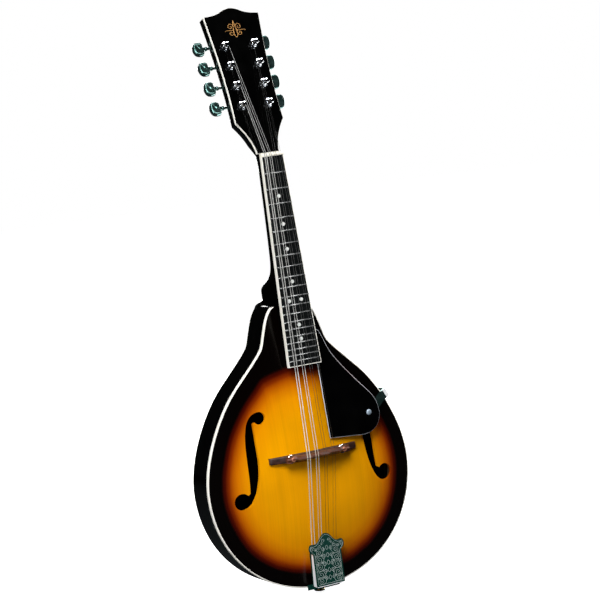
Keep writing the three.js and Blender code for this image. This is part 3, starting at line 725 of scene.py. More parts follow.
F_STEM = path(
    (UPPER_EYE[0], 221.6),
    [(69.5, 221.4), (77, 215), (80, 200)],
    [(84.6, 180), (82.6, 152), (84.6, 129)],
    [(93, 123)],
    [(93, 111.4)],
    [(79, 110.5), (69.2, 142), (69.2, 168)],
    [(69, 208.5)],
    [(60.8, 214.5)],
)


def f_hole(side):
    """The three overlapping loops of one sound hole."""
    shift = F_HOLE_SHIFTS[side > 0]
    stem = [Vector((side * (p.x + shift), p.y)) for p in F_STEM]
    return [stem, *(circle(side * (x + shift), z, radius) for x, z, radius in (UPPER_EYE, LOWER_EYE))]


def front_face(xs, zs):
    return -arch(FRONT_ARCH, plate_shares(xs, zs)[0])


def back_face(xs, zs):
    return RIB_DEPTH + arch(BACK_ARCH, plate_shares(xs, zs)[0])


def make_plates():
    flat = region(PLATE_OUTLINE, f_hole(-1) + f_hole(1), spacing=3.2)
    solid = thick(flat, front_face, lambda x, z: front_face(x, z) + PLATE_EDGE)
    top = piece("soundboard_carving", solid, BODY, BURST, stands_for=["soundboard"], sharp=50)
    spots = np.array([BODY.inverted() @ (v.co / MM) for v in top.data.vertices])
    shares, reach = plate_shares(spots[:, 0], spots[:, 2])
    burst = top.data.attributes.new("burst", "FLOAT", "POINT")
    burst.data.foreach_set("value", shares * reach / np.minimum(reach, BURST_REACH))
    flat = region(inset(BODY_OUTLINE, RIB_WALL), [], spacing=4.5)
    solid = thick(flat, lambda x, z: back_face(x, z) - PLATE_EDGE, back_face)
    piece("back_plate_carving", solid, BODY, BLACK, stands_for=["back_plate"], sharp=50)


def make_ribs():
    back = RIB_DEPTH - BACK_BINDING
    wall = [(0, PLATE_EDGE), (0, back), (RIB_WALL, back), (RIB_WALL, PLATE_EDGE)]
    piece("ribs_bent", rim(BODY_OUTLINE, wall), BODY, BLACK, stands_for=["ribs"])
    front_edge = [(0, 0.9), (0.12, 0.45), (0.42, 0.12), (0.85, 0), (BINDING, 0)]
    hoop = rim(BODY_OUTLINE, [(0, PLATE_EDGE), *front_edge, (BINDING, PLATE_EDGE)])
    joint = [int(all(hoop[0][i][2] > NECK_JOINT for i in face)) for face in hoop[1]]
    piece("top_binding_hoop", hoop, BODY, CREAM, stands_for=["top_binding"], more=(BLACK, joint))
    back_edge = lifted([(0, -0.9), (0.2, -0.35), (0.6, -0.05), (1, 0), (RIB_WALL, 0)], RIB_DEPTH)
    hoop = rim(BODY_OUTLINE, [(0, back), *back_edge, (RIB_WALL, back)])
    piece("back_binding_hoop", hoop, BODY, CREAM, stands_for=["back_binding"])


# ---------------- neck and fingerboard

# Along the neck: z, depth, half-width at the back (None: the board's), and how square the section is.
NECK_STATIONS = (
    (-200, 55.5, 18.4, 0.34),
    (-160, 55.5, 18, 0.34),
    (-156, 55.5, 17.9, 0.34),
    (-152.5, 54.6, 17.9, 0.36),
    (-149.5, 51, 17.9, 0.4),
    (-147, 46, 17.9, 0.44),
    (-144, 38.5, 17.9, 0.5),
    (-140.5, 32.2, 17.9, 0.58),
    (-136, 27, 18, 0.66),
    (-130, 23.6, None, 0.72),
    (-123, 21.8, None, 0.75),
    (-110, 20.4, None, 0.76),
    (-80, 19.1, None, 0.78),
    (-14, 17.9, None, 0.78),
    (-4, 19.2, None, 0.76),
    (4.6, 21.4, None, 0.74),
)


def board_half(z):
    return NUT_HALF + BOARD_SPREAD * max(-z, 0)


def neck_loops():
    rows = [
        np.array((z, depth, board_half(z), low or board_half(z), roundness))
        for z, depth, low, roundness in NECK_STATIONS
    ]
    loops = []
    for i, (start, end) in enumerate(zip(rows, rows[1:])):
        before, after = rows[max(i - 1, 0)], rows[min(i + 2, len(rows) - 1)]
        steps = 6 if end[0] - start[0] > 8 else 3
        for step in range(steps + (i + 2 == len(rows))):
            loops.append(neck_loop(flow(before, start, end, after, step / steps)))
    return loops


def flow(before, start, end, after, t):
    """A cubic from one row to the next whose slopes fit unevenly spaced rows."""
    span = end[0] - start[0]
    slope_in = (end - before) / (end[0] - before[0]) * span
    slope_out = (after - start) / (after[0] - start[0]) * span
    near = (2 * t**3 - 3 * t**2 + 1) * start + (t**3 - 2 * t**2 + t) * slope_in
    return near + (-2 * t**3 + 3 * t**2) * end + (t**3 - t**2) * slope_out


def neck_loop(row):
    z, depth, top_half, low_half, roundness = row
    steps = 32
    loop = []
    for i in range(steps + 1):
        turn = pi * i / steps
        across = copysign(abs(cos(turn)) ** roundness, cos(turn))
        down = sin(turn) ** roundness if 0 < i < steps else 0
        half = top_half + (low_half - top_half) * down
        loop.append((across * half, BOARD_THICK + depth * down, z))
    return loop


def cutter(low, high, where):
    """A hidden block that other pieces are cut with."""
    corners = [(x, y, z) for z in (low[2], high[2]) for x, y in
               ((low[0], low[1]), (high[0], low[1]), (high[0], high[1]), (low[0], high[1]))]
    mesh = bpy.data.meshes.new("cutter")
    points, faces = skin([corners[:4], corners[4:]])
    mesh.from_pydata([Matrix.Scale(MM, 4) @ where @ Vector(p) for p in points], [], faces)
    return shown("cutter", mesh)


def carve(made, tool, operation="DIFFERENCE"):
    """Cuts or joins with another object, keeps the result and removes the tool."""
    cut = made.modifiers.new("carve", "BOOLEAN")
    cut.operation = operation
    cut.solver = "EXACT"
    cut.object = tool
    shaped = made.evaluated_get(bpy.context.evaluated_depsgraph_get())
    mesh = bpy.data.meshes.new_from_object(shaped)
    made.modifiers.clear()
    made.data = mesh
    bpy.data.objects.remove(tool)
    mesh.set_sharp_from_angle(angle=radians(SHARP))


def make_neck():
    shaft = piece("neck_shaft", skin(neck_loops()), NECK, BLACK, body=None, stands_for=["neck"])
    rounded = [
        (1.2, HEAD_THICK), (0.35, HEAD_THICK - 0.35), (0, HEAD_THICK - 1.2), (0, STRIP_BACK + 0.05),
        (STRIP_THICK, STRIP_BACK + 0.05), (STRIP_THICK, HEADPLATE_THICK + 0.05),
    ]
    head = piece("head_core", edged(HEAD_OUTLINE, rounded), HEAD, BLACK, body=None)
    for _, side in SIDES:
        outward = Vector((side * 138, 115, -81))
        lean = outward.to_track_quat("Z", "Y").to_matrix().to_4x4()
        corner = HEAD @ at(side * NUT_HALF, 7, 5.6)
        carve(head, cutter((-60, -60, 0), (60, 60, 60), corner @ lean))
    carve(shaft, head, "UNION")
    carve(shaft, cutter((-60, -60, 200), (60, 100, BODY_TOP + 0.05), BODY))
    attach(shaft, "instrument")
    cap = mirrored(path(
        (0, 330),
        [(25, 330)],
        [(25.4, 338)],
        [(24, 342), (20, 344.6), (14, 346.6)],
        [(9, 348), (4, 348.4), (0, 348.4)],
        steps=8,
    ))
    edge = lifted([(0.8, 0), (0.2, -0.3), (0, -1), (0, -4.5), (0.5, -5)], RIB_DEPTH)
    piece("heel_cap", edged(cap, edge), BODY, BLACK)


def make_board():
    crown = [(0.72, 0.2), (0.72, 0), (0.62, -0.45), (0.36, -0.78), (0, -0.92)]
    section = crown + [(-along, y) for along, y in reversed(crown[:-1])]
    for number in range(1, FRETS + 1):
        z = fret_z(number)
        half = board_half(z) - 0.3
        loops = []
        for x, tall in ((-half, 0.35), (-half + 0.5, 1), (half - 0.5, 1), (half, 0.35)):
            loops.append([(x, min(y, 0) * tall + max(y, 0), z + along) for along, y in section])
        piece(f"fret_{number}", skin(loops), NECK, FRET, sharp=50)
    for i, (number, x) in enumerate(DOTS):
        z = (fret_z(number) + fret_z(number - 1)) / 2
        disc = turned([(0, 0.3), (DOT_RADIUS, 0.3), (DOT_RADIUS, -0.04), (2.1, -0.07), (0, -0.07)])
        piece(f"position_dot_{i + 1}", placed(disc, at(x, 0, z)), NECK, PEARL)


def fret_z(number):
    return -SCALE_LENGTH * (1 - 2 ** (-number / 12))


def string_xs(course_gap, pair_gap):
    """X of the eight strings for a spacing of the courses and within them."""
    return [(i // 2 - 1.5) * course_gap + (i % 2 - 0.5) * pair_gap for i in range(8)]


NUT_XS = string_xs(COURSE_AT_NUT, PAIR_AT_NUT)
SADDLE_XS = string_xs(COURSE_AT_SADDLE, PAIR_AT_SADDLE)
TAIL_XS = string_xs(COURSE_AT_TAIL, PAIR_AT_TAIL)


def make_nut():
    loops = []
    steps = 228
    for i in range(steps + 1):
        x = -NUT_HALF + 2 * NUT_HALF * i / steps
        groove = 0
        for string_x, radius in zip(NUT_XS, STRING_RADII):
            off = abs(x - string_x)
            if off < radius + 0.1:
                groove = sqrt((radius + 0.1) ** 2 - off**2)
        ease = max(0, 1 - (NUT_HALF - abs(x)) / 0.6) * 0.5
        top = NUT_TOP + groove * 0.55 + ease
        section = [
            (BOARD_THICK, 0), (top + 0.35, 0), (top + 0.05, 0.5), (top, 1.4), (top + 0.05, 2.6),
            (top + 1.3, 4.5), (0.6, NUT_WIDTH), (BOARD_THICK, NUT_WIDTH),
        ]
        loops.append([(x, y, z) for y, z in section])
    piece("nut_slotted", skin(loops), NECK, BONE, stands_for=["nut"], sharp=60)


# ---------------- headstock


def make_headplate():
    shape = edged(inset(HEAD_OUTLINE, STRIP_FRONT), [
        (0, HEADPLATE_THICK), (0, 0.1), (0.1, 0), (0.3, 0),
    ])
    piece("headplate_veneer", shape, HEAD, BLACK, stands_for=["headplate"])
    hoop = rim(HEAD_OUTLINE, [
        (0, STRIP_BACK), (0, 0.4), (0.1, 0.12), (STRIP_FRONT, 0.02), (STRIP_FRONT, HEADPLATE_THICK),
        (STRIP_THICK, HEADPLATE_THICK), (STRIP_THICK, STRIP_BACK),
    ])
    piece("headstock_binding_hoop", hoop, HEAD, CREAM, stands_for=["headstock_binding"])


def make_tuners():
    for word, side in SIDES:
        for i, roll in enumerate(BUTTON_ROLLS):
            where = bank(side) @ at(0, 0, i * POST_PITCH)
            make_post(f"{word}_{i + 1}", where)
            make_button(f"{word}_{i + 1}", where, side, roll)


def make_post(tag, where):
    """A string post with its gear and the bushing that it turns in."""
    post = turned([
        (0, WORM_Y - 3), (POST_RADIUS, WORM_Y - 3), (POST_RADIUS, -3.6), (POST_WAIST + 0.25, -4.0),
        (POST_WAIST, -4.6), (POST_WAIST, -7.0), (POST_WAIST + 0.25, -7.6), (POST_RADIUS, -8.0),
        (POST_RADIUS, -9.3), (2.6, -9.9), (1.6, -10.25), (0, -10.3),
    ])
    piece(f"post_{tag}_turning", post, where, BRIGHT, f"post_{tag}", [f"post_{tag}"])

    def tooth(angle, row):
        return 1 if row in (0, 5) else 1 - 0.13 * (sin(angle * GEAR_TEETH) > 0)

    rows = [(2.9, -2.5), (4.7, -2.5), (4.9, -2.2), (4.9, 2.2), (4.7, 2.5), (2.9, 2.5)]
    gear = turned(lifted(rows, WORM_Y), sides=GEAR_TEETH * 6, lobes=tooth)
    head = turned(lifted([(0, 2.4), (2.2, 2.4), (2.1, 2.9), (0, 3)], WORM_Y))
    piece(f"gear_{tag}", combine(gear, head), where, BRASS, f"post_{tag}")
    flange = turned([
        (3.15, -0.05), (5.9, -0.05), (6.1, -0.3), (5.9, -0.7), (5.0, -1.0),
        (4.5, -1.1), (4.3, -2.4), (4.0, -2.8), (3.15, -2.9),
    ], ring=True)
    piece(f"bushing_{tag}", flange, where, BRIGHT)


def make_button(tag, where, side, roll):
    """A button with its shaft and its worm."""
    blade = button_blade()
    shaft = turned([
        (0, -8), (1.7, -8), (1.7, 12.5), (2.6, 13.3), (2.9, 14.6), (2.2, 15.8), (2.9, 16.8), (3, 22), (0, 22),
    ], sides=24)
    thread = []
    for k in range(121):
        angle = 2 * pi * WORM_TURNS * k / 120
        thread.append((2.25 * cos(angle), -4.2 + 8.4 * k / 120, 2.25 * sin(angle)))
    core = turned([(0, -4.6), (2.1, -4.6), (2.1, 4.6), (0, 4.6)], sides=24)
    lengthwise = spin(-pi / 2, "Z")
    parts = combine(blade, placed(combine(shaft, core, tube(thread, 0.45, 6)), lengthwise))
    flip = spin(pi if side < 0 else 0, "Z")
    here = where @ at(0, WORM_Y, WORM_RISE) @ flip @ spin(radians(roll), "X")
    piece(f"button_{tag}_moulding", parts, here, CHROME, f"button_{tag}", [f"button_{tag}"], sharp=50)


def button_blade():
    """A kidney-shaped button: its edge is round and its faces are slightly hollow."""
    half = path((0, -5), [(0.1, -7.2), (1.0, -8.4), (3.4, -8.7)], [(9.6, -9.5), (13, -7.4), (13.1, 0)])
    other = [Vector((p.x, -p.y)) for p in reversed(half[:-1])]
    outline = [p + Vector((18.2, 0)) for p in half + other]
    profile = [(1.8, 3.4), (0.9, 3.25), (0.28, 2.6), (0, 1.4), (0, 0)]
    rows = [(3.4, 2.7), *profile, *((d, -y) for d, y in reversed(profile[:-1])), (3.4, -2.7)]
    return edged(outline, rows)


# ---------------- bridge


def make_bridge():
    xs = np.linspace(-BASE_HALF, BASE_HALF, 93)
    falls = [BASE_TOP, BASE_TOP, -21.3, -18.6, -16.9, -15.8, -14.4]
    tops = np.interp(abs(xs), [0, 37, 41, 47, 52, 55.5, BASE_HALF], falls)
    half = BASE_HALF_THICK
    loops = []
    for x, top in zip(xs, tops):
        lower, upper = (front_height(x, BRIDGE_Z + z) - 0.25 for z in (-half, half))
        section = [
            (lower, -half), (top + 0.7, -half), (top + 0.15, -3.4), (top, -2.8),
            (top, 2.8), (top + 0.15, 3.4), (top + 0.7, half), (upper, half),
        ]
        loops.append([(x, y, BRIDGE_Z + z) for y, z in section])
    piece("bridge_base_fitted", skin(loops), BODY, ROSEWOOD_DARK, stands_for=["bridge_base"], sharp=60)
    make_saddle()
    for word, side in SIDES:
        here = BODY @ at(side * STUD_HALF, 0, BRIDGE_Z)
        thread = [(1.5 if k % 2 else 1.2, -18 - 0.4 * k) for k in range(28)]
        stud = turned([(0, -17.7), (1.25, -17.7), *thread, (1.0, -29.5), (0, -29.5)], sides=20)
        node = f"bridge_stud_{word}"
        piece(f"{node}_threaded", stud, here, BRASS, stands_for=[node], sharp=60)
        back = WHEEL_THICK
        rows = [(1.8, 0), (4.8, 0), (5.2, 0.35), (5.2, back - 0.35), (4.8, back), (1.8, back)]
        wheel = turned(lifted(rows, WHEEL_FRONT), sides=96, ring=True, lobes=knurl)
        rows = [(0, -29), (2.7, -29), (2.7, -30.7), (2.4, -31), (1.2, -31), (1.0, -30.6), (0, -30.6)]
        piece(f"saddle_insert_{word}", turned(rows), here, COPPER, "bridge_saddle")
        node = f"thumbwheel_{word}"
        piece(f"{node}_knurled", wheel, here, BRIGHT, node, [node])


def knurl(angle, row):
    """The ribs round a thumbwheel's rim."""
    return 1 + (0.035 * cos(24 * angle) if row in (2, 3) else 0)


def make_saddle():
    """The saddle's top steps back and forth under the strings so that each course plays in tune."""
    half = SADDLE_HALF_THICK
    low = SADDLE_BOTTOM
    xs = np.linspace(-SADDLE_HALF, SADDLE_HALF, 167)
    falls = [SADDLE_TOP, SADDLE_TOP, -31.6, -30.2, -29.6]
    tops = np.interp(abs(xs), [0, 25, 29.5, 38, SADDLE_HALF], falls)
    roofs = np.interp(abs(xs), [0, 23, 27, SADDLE_HALF], [low - 2, low - 2, low, low])
    loops = []
    for x, top, roof in zip(xs, tops, roofs):
        course = int(np.clip((x + 2 * COURSE_AT_SADDLE) // COURSE_AT_SADDLE, 0, 3))
        shift = (-0.5, 0.6, -0.4, 0.7)[course] if abs(x) < 24 else 0
        crest = top + max(0, *(0.45 - abs(x - string_x) for string_x in SADDLE_XS))
        section = [
            (roof, -half), (low - 3.5, -half), (crest + 1.6, -1.7 + shift * 0.5), (crest, -0.5 + shift),
            (crest, 0.5 + shift), (crest + 1.6, 1.7 + shift * 0.5), (low - 3.5, half), (roof, half),
        ]
        loops.append([(x, y, BRIDGE_Z + z) for y, z in section])
    piece("saddle_compensated", skin(loops), BODY, ROSEWOOD, "bridge_saddle", ["saddle"], sharp=40)


# ---------------- tailpiece


def cover_outline():
    return mirrored(path(
        (0, COVER_LOW),
        [(COVER_HALF, COVER_LOW)],
        [(COVER_HALF, COVER_WAIST)],
        [(23.5, 45), (25, 50.5), (22.6, 54)],
        [(20.5, 57.5), (17.5, 54.2), (13.5, 55.5)],
        [(8.5, 57.5), (7, 66), (0, 66.2)],
    ))


def make_cover():
    """The cover's plate, and its skirt, a bent wall that gets shallower towards the waist, painted near white
    as a highlight.
    """
    edge = lifted([(0.5, 1), (0.1, 0.9), (0, 0.6), (0.15, 0.2), (0.5, 0), (0.9, 0)], COVER_FRONT)
    shape = edged(cover_outline(), edge)
    piece("tailpiece_cover_plate", shape, BODY, NICKEL, "tailpiece_cover", ["tailpiece_cover"])
    half, low, high = COVER_HALF, COVER_LOW, COVER_WAIST
    outer = path(
        (half, high),
        [(half, low + 1)],
        [(half, low + 0.4), (half - 0.4, low), (half - 1, low)],
        [(1 - half, low)],
        [(0.4 - half, low), (-half, low + 0.4), (-half, low + 1)],
        [(-half, high)],
        steps=6,
    )
    inner = [(half - 1, high), (half - 1, low + 1), (1 - half, low + 1), (1 - half, high)]
    loop = [*reversed(outer), *(Vector(p) for p in inner)]
    skirt = thick(region(loop, []), lambda x, z: COVER_FRONT + 0.9, lambda x, z: -9.2 - 0.09 * z)
    softened(piece("tailpiece_cover_skirt", skirt, BODY, PAINTED_HIGHLIGHT_WHITE, "tailpiece_cover"), 0.2)
    make_engraving()


def spiral(x, z, size, turns, start, hand):
    """A curl that winds in to its middle."""
    points = []
    for k in range(41):
        t = k / 40
        radius = size * (1 - t) ** 0.75
        angle = start + hand * turns * 2 * pi * t
        points.append((x + radius * cos(angle), z + radius * sin(angle)))
    return points


def engraving_lines():
    """The right half of a symmetrical scroll pattern."""
    lines = []
    for z, size, hand in ((9.5, 3.6, 1), (17.5, 4.2, -1), (26.5, 4.4, 1), (35.5, 4.2, -1), (44, 3.6, 1)):
        stem = [(8, z - size - 1), (4, z), (4.6, z + 3.4 + size * 0.7)]
        lines += [
            spiral(11.4, z, size, 1.6, -hand * pi / 2, hand),
            spiral(4.6, z + 3.4, size * 0.72, 1.4, hand * pi / 2, -hand),
            spiral(15.6, z + 4.4, size * 0.36, 1.1, pi, hand),
            path((11.4, z - size), stem, steps=8),
        ]
    for z in (13, 22, 31, 40, 49):
        lines.append(path((0, z - 3), [(2.4, z - 1.4), (2.0, z + 1.2), (0, z + 2.6)], steps=8))
    lines += [
        spiral(19.4, 49.8, 2.6, 1.3, pi, -1),
        spiral(3.6, 57.5, 2.6, 1.2, -pi / 2, 1),
        spiral(10.2, 50.6, 2.8, 1.4, pi / 2, 1),
        spiral(14.8, 49, 1.9, 1.2, -pi / 2, -1),
    ]
    curls = (7.6, 13.6), (8.2, 22.4), (7.8, 31.4), (8.4, 40.2), (13.4, 13.8), (13.8, 31.6), (6.6, 54)
    lines += [spiral(x, z, 1.3, 1.1, x, 1 if z > 25 else -1) for x, z in curls]
    lines.append(path(
        (20.2, 47),
        [(22.6, 48.5), (22.8, 52), (20.6, 53.2)],
        [(15, 51.5), (12.5, 54), (9.6, 57)],
        [(7, 60.5), (4, 64.2), (0, 64.4)],
        steps=8,
    ))
    lines.append(path((0, 6), [(16.6, 6)], [(16.6, 42)], [(17.2, 44), (20, 45.5), (20.4, 47)], steps=6))
    return lines


def wire(name, lines, where, depth, radius, look, body):
    """Thin raised lines, one spline each, as one piece."""
    data = bpy.data.curves.new(name, "CURVE")
    data.dimensions = "3D"
    data.bevel_depth = radius * MM
    data.bevel_resolution = 1
    data.use_fill_caps = True
    data.materials.append(look)
    to_row = Matrix.Scale(MM, 4) @ where
    for line in lines:
        spline = data.splines.new("POLY")
        spline.points.add(len(line) - 1)
        for point, (x, z) in zip(spline.points, line):
            point.co = (*(to_row @ Vector((x, depth, z))), 1)
    made = shown(name, data)
    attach(made, body)
    return made


def both_halves(right):
    return right + [[(-x, z) for x, z in line] for line in right]


def make_engraving():
    # A thin near-white strip along the cover's bottom edge: a painted highlight.
    bottom = [[(0.8 - COVER_HALF, COVER_LOW + 0.15), (COVER_HALF - 0.8, COVER_LOW + 0.15)]]
    wire("cover_bottom_highlight_strip", bottom, BODY, COVER_FRONT + 0.2, 0.38, PAINTED_HIGHLIGHT_WHITE, "tailpiece_cover")
    lines = both_halves(engraving_lines())
    wire("cover_engraving", lines, BODY, COVER_FRONT, 0.14, ENGRAVED, "tailpiece_cover")


def make_end_pin():
    """The strap's pin, with a brass-coloured waist between its two collars."""
    pin = turned([
        (0, 0), (7, 0), (7.2, -0.4), (7, -1.4), (5.6, -2), (4.9, -3), (5, -4.4),
        (6.2, -5.1), (6.5, -5.7), (6.1, -6.3), (4.4, -6.4), (4.2, -6.0), (0, -6.0),
    ], sides=48)
    turn = at(0, PIN_Y, -1.8) @ spin(pi / 2, "X")
    waist = [int(3 <= k // 48 <= 6) for k in range(len(pin[1]))]
    piece("end_pin_turning", placed(pin, turn), BODY, CHROME, stands_for=["end_pin"], more=(BRASS, waist))
    screw = turned([(0, -5.9), (3.1, -5.9), (2.9, -6.3), (1.5, -6.35), (0, -6.35)])
    piece("end_pin_screw", placed(screw, turn), BODY, BRASS)


# ---------------- pickguard


def make_guard():
    outline = path(
        (17, -206), [(17, -246.5)], [(21.8, -250.5)], [(23.3, -339.8)], [(67, -343.5)],
        [(84, -344.5), (94, -333), (94.3, -320.5)],
        [(94.3, -309), (91.5, -302), (83.5, -292.5)],
        [(74, -282), (50, -254), (41.5, -239)],
        [(37.2, -231), (34.5, -220), (30, -211)],
        [(22, -206)],
    )
    rows = [(0, GUARD_THICK), (0, 0.75), (0.55, 0.3), (0.85, 0)]
    solid = edged(outline, lifted(rows, GUARD_FRONT))
    count = len(outline)
    # The bevel's faces take the pale look, a painted highlight along the guard's edge.
    bands = [int(i // count == 1) for i in range(len(solid[1]))]
    piece("pickguard_bevelled", solid, NECK, GUARD, stands_for=["pickguard"], more=(GUARD_BEVEL_HIGHLIGHT, bands), sharp=30)
    front = GUARD_FRONT - 0.1
    rows = [(0, 0), (3.5, 0), (3.4, -0.4), (2.7, -1.2), (1.4, -1.6), (0, -1.65)]
    head = turned(lifted(rows, front))
    at_screw = NECK @ at(GUARD_SCREW[0], 0, GUARD_SCREW[1])
    # The screw head's pale colour is a painted reflection.
    screw = piece("pickguard_screw_head", head, at_screw, SCREW_PAINTED_REFLECTION, body=None, stands_for=["pickguard_screw"])
    for turn in (0, pi / 2):
        slot = at_screw @ spin(turn + 0.5, "Y")
        carve(screw, cutter((-1.9, front - 3, -0.3), (1.9, front - 1.05, 0.3), slot))
    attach(screw, "instrument")


# ---------------- strings


def between(start, end, steps):
    return [start.lerp(end, k / steps) for k in range(steps)]


def make_strings():
    """Each string from its post over the nut and the saddle to its hook, and its turns on the post."""
    for i, radius in enumerate(STRING_RADII):
        word, side = SIDES[i > 3]
        row = min(i, 7 - i)
        plain = radius <= LARGEST_PLAIN
        # Over the fingerboard and behind the nut the strings take copies painted lighter or darker: painted
        # light and shade.
        look, board_light_and_shade, head_shade = (PLAIN, PLAIN_BOARD_HIGHLIGHT, PLAIN_HEAD_SHADED) if plain else (WOUND, WOUND_BOARD_SHADED, WOUND_HEAD_SHADED)
        at_post = bank(side) @ at(0, 0, row * POST_PITCH)
        reach = POST_WAIST + radius + 0.05
        leave = at_post @ Vector((-side * reach, WINDING_Y, 0))
        lift = radius + STRING_LIFT
        nut_back, nut_mid, nut_front = (
            NECK @ Vector((NUT_XS[i], NUT_TOP - lift + y, z)) for y, z in ((0.6, 4.4), (0, 2), (0.02, 0.2))
        )
        saddle = BODY @ Vector((SADDLE_XS[i], SADDLE_TOP - lift, BRIDGE_Z))
        hook = BODY @ Vector((TAIL_XS[i], HOOK_STRING_Y, HOOK_Z + 0.3))
        head = between(leave, nut_back, HEAD_RINGS - 1) + [nut_back, nut_mid]
        string = tube(head + between(nut_front, saddle, 28) + [saddle], radius)
        rings = [k // TUBE_SIDES for k in range(len(string[1]))]
        on_board = HEAD_RINGS + 1 + BOARD_RINGS
        # Zone 1, behind the nut, is painted dark as shade; zone 2, over the fingerboard, is painted lighter
        # or darker as light and shade.
        zones = [1 if ring < HEAD_RINGS else 2 if ring < on_board else 0 for ring in rings]
        node = f"string_{i + 1}"
        more = (head_shade, board_light_and_shade, zones)
        sounding = piece(f"{node}_sounding", string, Matrix(), look, None, [node], more=more)
        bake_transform(sounding)
        string = tube(between(saddle, hook, 16) + [hook], radius)
        tail = piece(f"{node}_tail", string, Matrix(), look, None)
        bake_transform(tail)
        winds = 4 if radius < 0.4 else 2.5
        coil = []
        for k in range(73):
            share = k / 72
            angle = (pi if side > 0 else 0) + side * winds * 2 * pi * (share - 1)
            y = WINDING_Y + 0.6 - (1 - share) * winds * radius * 2.1
            coil.append((reach * cos(angle), y, reach * sin(angle)))
        tag = f"{word}_{row + 1}"
        # The turns on each post take the dark head copy: painted shade.
        piece(f"winding_{tag}", tube(coil, radius, 8), at_post, head_shade, f"post_{tag}")


# ---------------- small trim


def make_ornament():
    """A generic scroll in gold on the headstock."""
    right = [
        spiral(5.2, 165.5, 4.2, 1.25, pi, -1),
        spiral(5.6, 157.5, 3.2, 1.1, pi, 1),
        path((0, 152), [(4.5, 155), (1.6, 163), (0, 173)], steps=10),
        path((1, 161.5), [(6, 159.5), (11, 162.5), (13.5, 160)], steps=10),
    ]
    wire("headstock_ornament", both_halves(right), HEAD, -0.02, 0.42, GOLD, "instrument")


def make_plate_screws():
    for word, side in SIDES:
        for i, z in enumerate((-5.5, 12.65, 37.95, 63.25, 87.4)):
            rows = [(0, -0.2), (2, -0.2), (1.9, 0.4), (1.2, 0.9), (0, 1.05)]
            dome = turned(lifted(rows, HEAD_THICK + 1.4), sides=24)
            piece(f"plate_screw_{word}_{i + 1}", dome, bank(side) @ at(0, 0, z), BRIGHT)


def make_bracket_highlight():
    """The bracket's outer bend, where it turns down the rib, as a near-white strip: a painted highlight."""
    spot = BODY.inverted() @ NECK @ Vector((GUARD_SCREW[0], GUARD_FRONT, GUARD_SCREW[1]))
    where = BODY @ at(spot.x, 0, spot.z) @ spin(-ARM_ANGLE, "Y")
    section = [
        (35, -4.45), (39.6, -3.75), (40.1, -3.2), (40.2, 22), (39.9, 22), (39.8, -3.2), (35, -4.1),
    ]
    bend = skin([[(x, y, z) for x, y in section] for z in (-5.65, 5.65)])
    softened(piece("bracket_bend_highlight", bend, where, PAINTED_HIGHLIGHT_WHITE), 0.1)


# The CAD nodes that show as they are: a look, how far their edges are rounded, and their names.
CAD_LOOKS = (
    (BARE, 0, "top_lining", "back_lining", "tail_block", "head_block", "tone_bar_treble", "tone_bar_bass"),
    (STEEL, 0, "neck_rod"),
    (BLACK, 0.3, "board_support"),
    (EBONY, 0, "fingerboard"),
    (CREAM, 0.2, "fingerboard_binding"),
    (CHROME, 0.35, "pickguard_bracket"),
    (CHROME, 0.25, "tuner_plate_bass", "tuner_plate_treble"),
    (NICKEL, 0.2, "tailpiece_base"),
)


def dress_cad_nodes():
    for look, width, *names in CAD_LOOKS:
        for name in names:
            node = frame["nodes"][name]
            node.data.materials.clear()
            node.data.materials.append(look)
            if width:
                softened(node, width)


# ---------------- room

MIDDLE = Vector((0, 0, -0.25))
LIGHTS = (
    ("key", (-0.45, -0.62, 0.64), 2.6, (1.1, 1.1), 78),
    ("top", (0.42, -0.28, 0.86), 2.4, (1.3, 0.5), 30),
    ("back", (0.75, 0.66, -0.04), 2.2, (0.9, 1.5), 34),
    ("fill", (-0.84, -0.52, 0.08), 2.4, (0.8, 1.3), 24),
    ("rear", (0.36, 0.86, 0.34), 2.4, (0.9, 1.4), 40),
)
METAL_LIGHTS = (
    ("glint", (0.34, -0.04, -0.42), (0.02, 0, 0.1), (0.8, 0.5), 8),
    ("rim_glint", (2.08, 1.51, 0.52), (0, 0, -0.2), (1.0, 1.6), 20),
)


def aimed(made, spot, aim, roll=0):
    """Puts a light or the camera at a spot and turns it to its aim."""
    made.location = spot
    made.rotation_mode = "QUATERNION"
    facing = (Vector(aim) - Vector(spot)).to_track_quat("-Z", "Y")
    made.rotation_quaternion = facing @ Matrix.Rotation(roll, 3, "Z").to_quaternion()
    return made


def box_light(name, spot, aim, size, power):
    data = bpy.data.lights.new(name, "AREA")
    data.shape = "RECTANGLE"
    data.size, data.size_y = size
    data.energy = power
    return aimed(shown(name, data), spot, aim)


def make_room():
    scene = bpy.context.scene
    scene.view_settings.view_transform = "Standard"
    world = bpy.data.worlds.new("studio")
    scene.world = world
    world.use_nodes = True
    tree = world.node_tree
    backdrop = tree.nodes["Background"]
    backdrop.inputs["Color"].default_value = (1, 1, 1, 1)
    backdrop.inputs["Strength"].default_value = 1.0
    lit = add(tree, "Background", {"Color": (0.85, 0.95, 1.0, 1), "Strength": 0.007})
    seen = add(tree, "LightPath").outputs["Is Camera Ray"]
    mix = add(tree, "MixShader", {0: seen, 1: lit.outputs[0], 2: backdrop.outputs[0]})
    tree.links.new(mix.outputs[0], tree.nodes["World Output"].inputs["Surface"])
    make_floor()
    for name, direction, distance, size, power in LIGHTS:
        box_light(name, MIDDLE + Vector(direction) * distance, MIDDLE, size, power)


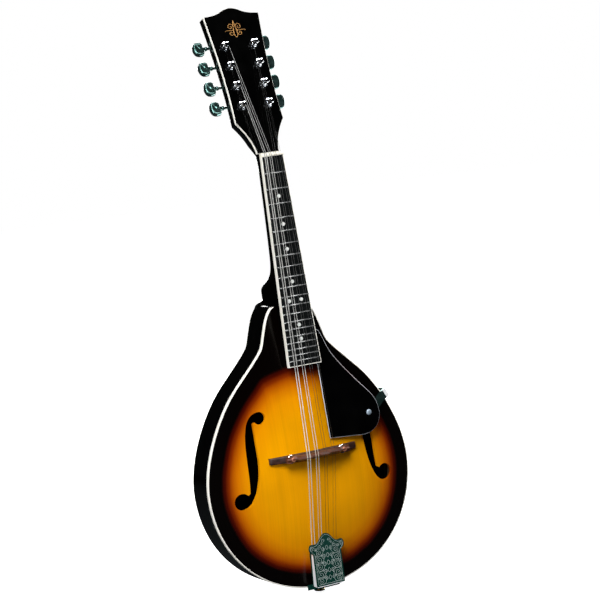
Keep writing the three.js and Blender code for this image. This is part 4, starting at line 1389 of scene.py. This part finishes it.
def make_metal_lights():
    """Two lights that only the headstock's metal sees."""
    metal = bpy.data.collections.new("headstock_metal")
    for item in bpy.context.scene.objects:
        if item.name.startswith(("post_", "bushing_", "button_")):
            metal.objects.link(item)
    for name, spot, aim, size, power in METAL_LIGHTS:
        light = box_light(name, spot, aim, size, power)
        light.visible_camera = False
        light.light_linking.receiver_collection = metal


def make_floor():
    bpy.ops.mesh.primitive_circle_add(vertices=96, radius=14, fill_type="NGON")
    floor = bpy.context.object
    floor.name = "floor"
    floor.location = (0, 0, cad_low.z - 0.0015)
    made, tree, shader = blank("pale_floor", "", Roughness=0.9)
    pattern = noise(tree, (3, 3, 3), 2.0)
    colour = ramp(tree, pattern, [(0.3, (0.86, 0.86, 0.86)), (0.7, (0.9, 0.9, 0.9))])
    tree.links.new(colour, shader.inputs["Base Color"])
    place = add(tree, "TexCoord").outputs["Object"]
    away = add(tree, "VectorMath", {0: place}, operation="LENGTH").outputs["Value"]
    values = {"Value": away, "From Min": 0.15, "From Max": 1.0, "To Min": 0.9, "To Max": 1.0}
    strength = add(tree, "MapRange", values).outputs["Result"]
    glow = add(tree, "Emission", {"Color": (1, 1, 1, 1), "Strength": strength})
    both = add(tree, "AddShader", {0: shader.outputs[0], 1: glow.outputs[0]})
    dark = add(tree, "BsdfDiffuse", {"Color": (0.02, 0.023, 0.025, 1)})
    seen = add(tree, "LightPath").outputs["Is Camera Ray"]
    mix = add(tree, "MixShader", {0: seen, 1: dark.outputs[0], 2: both.outputs[0]})
    tree.links.new(mix.outputs[0], tree.nodes["Material Output"].inputs["Surface"])
    floor.data.materials.append(made)


def make_camera():
    data = bpy.data.cameras.new("camera")
    data.lens = CAMERA_LENS
    data.sensor_width = 36
    bpy.context.scene.camera = aimed(shown("camera", data), CAMERA_POINT, CAMERA_AIM, CAMERA_ROLL)


make_camera()
make_room()
make_plates()
make_ribs()
make_neck()
make_board()
make_nut()
make_headplate()
make_tuners()
make_bridge()
make_cover()
make_end_pin()
make_guard()
make_strings()
make_ornament()
make_plate_screws()
make_bracket_highlight()
dress_cad_nodes()
make_metal_lights()
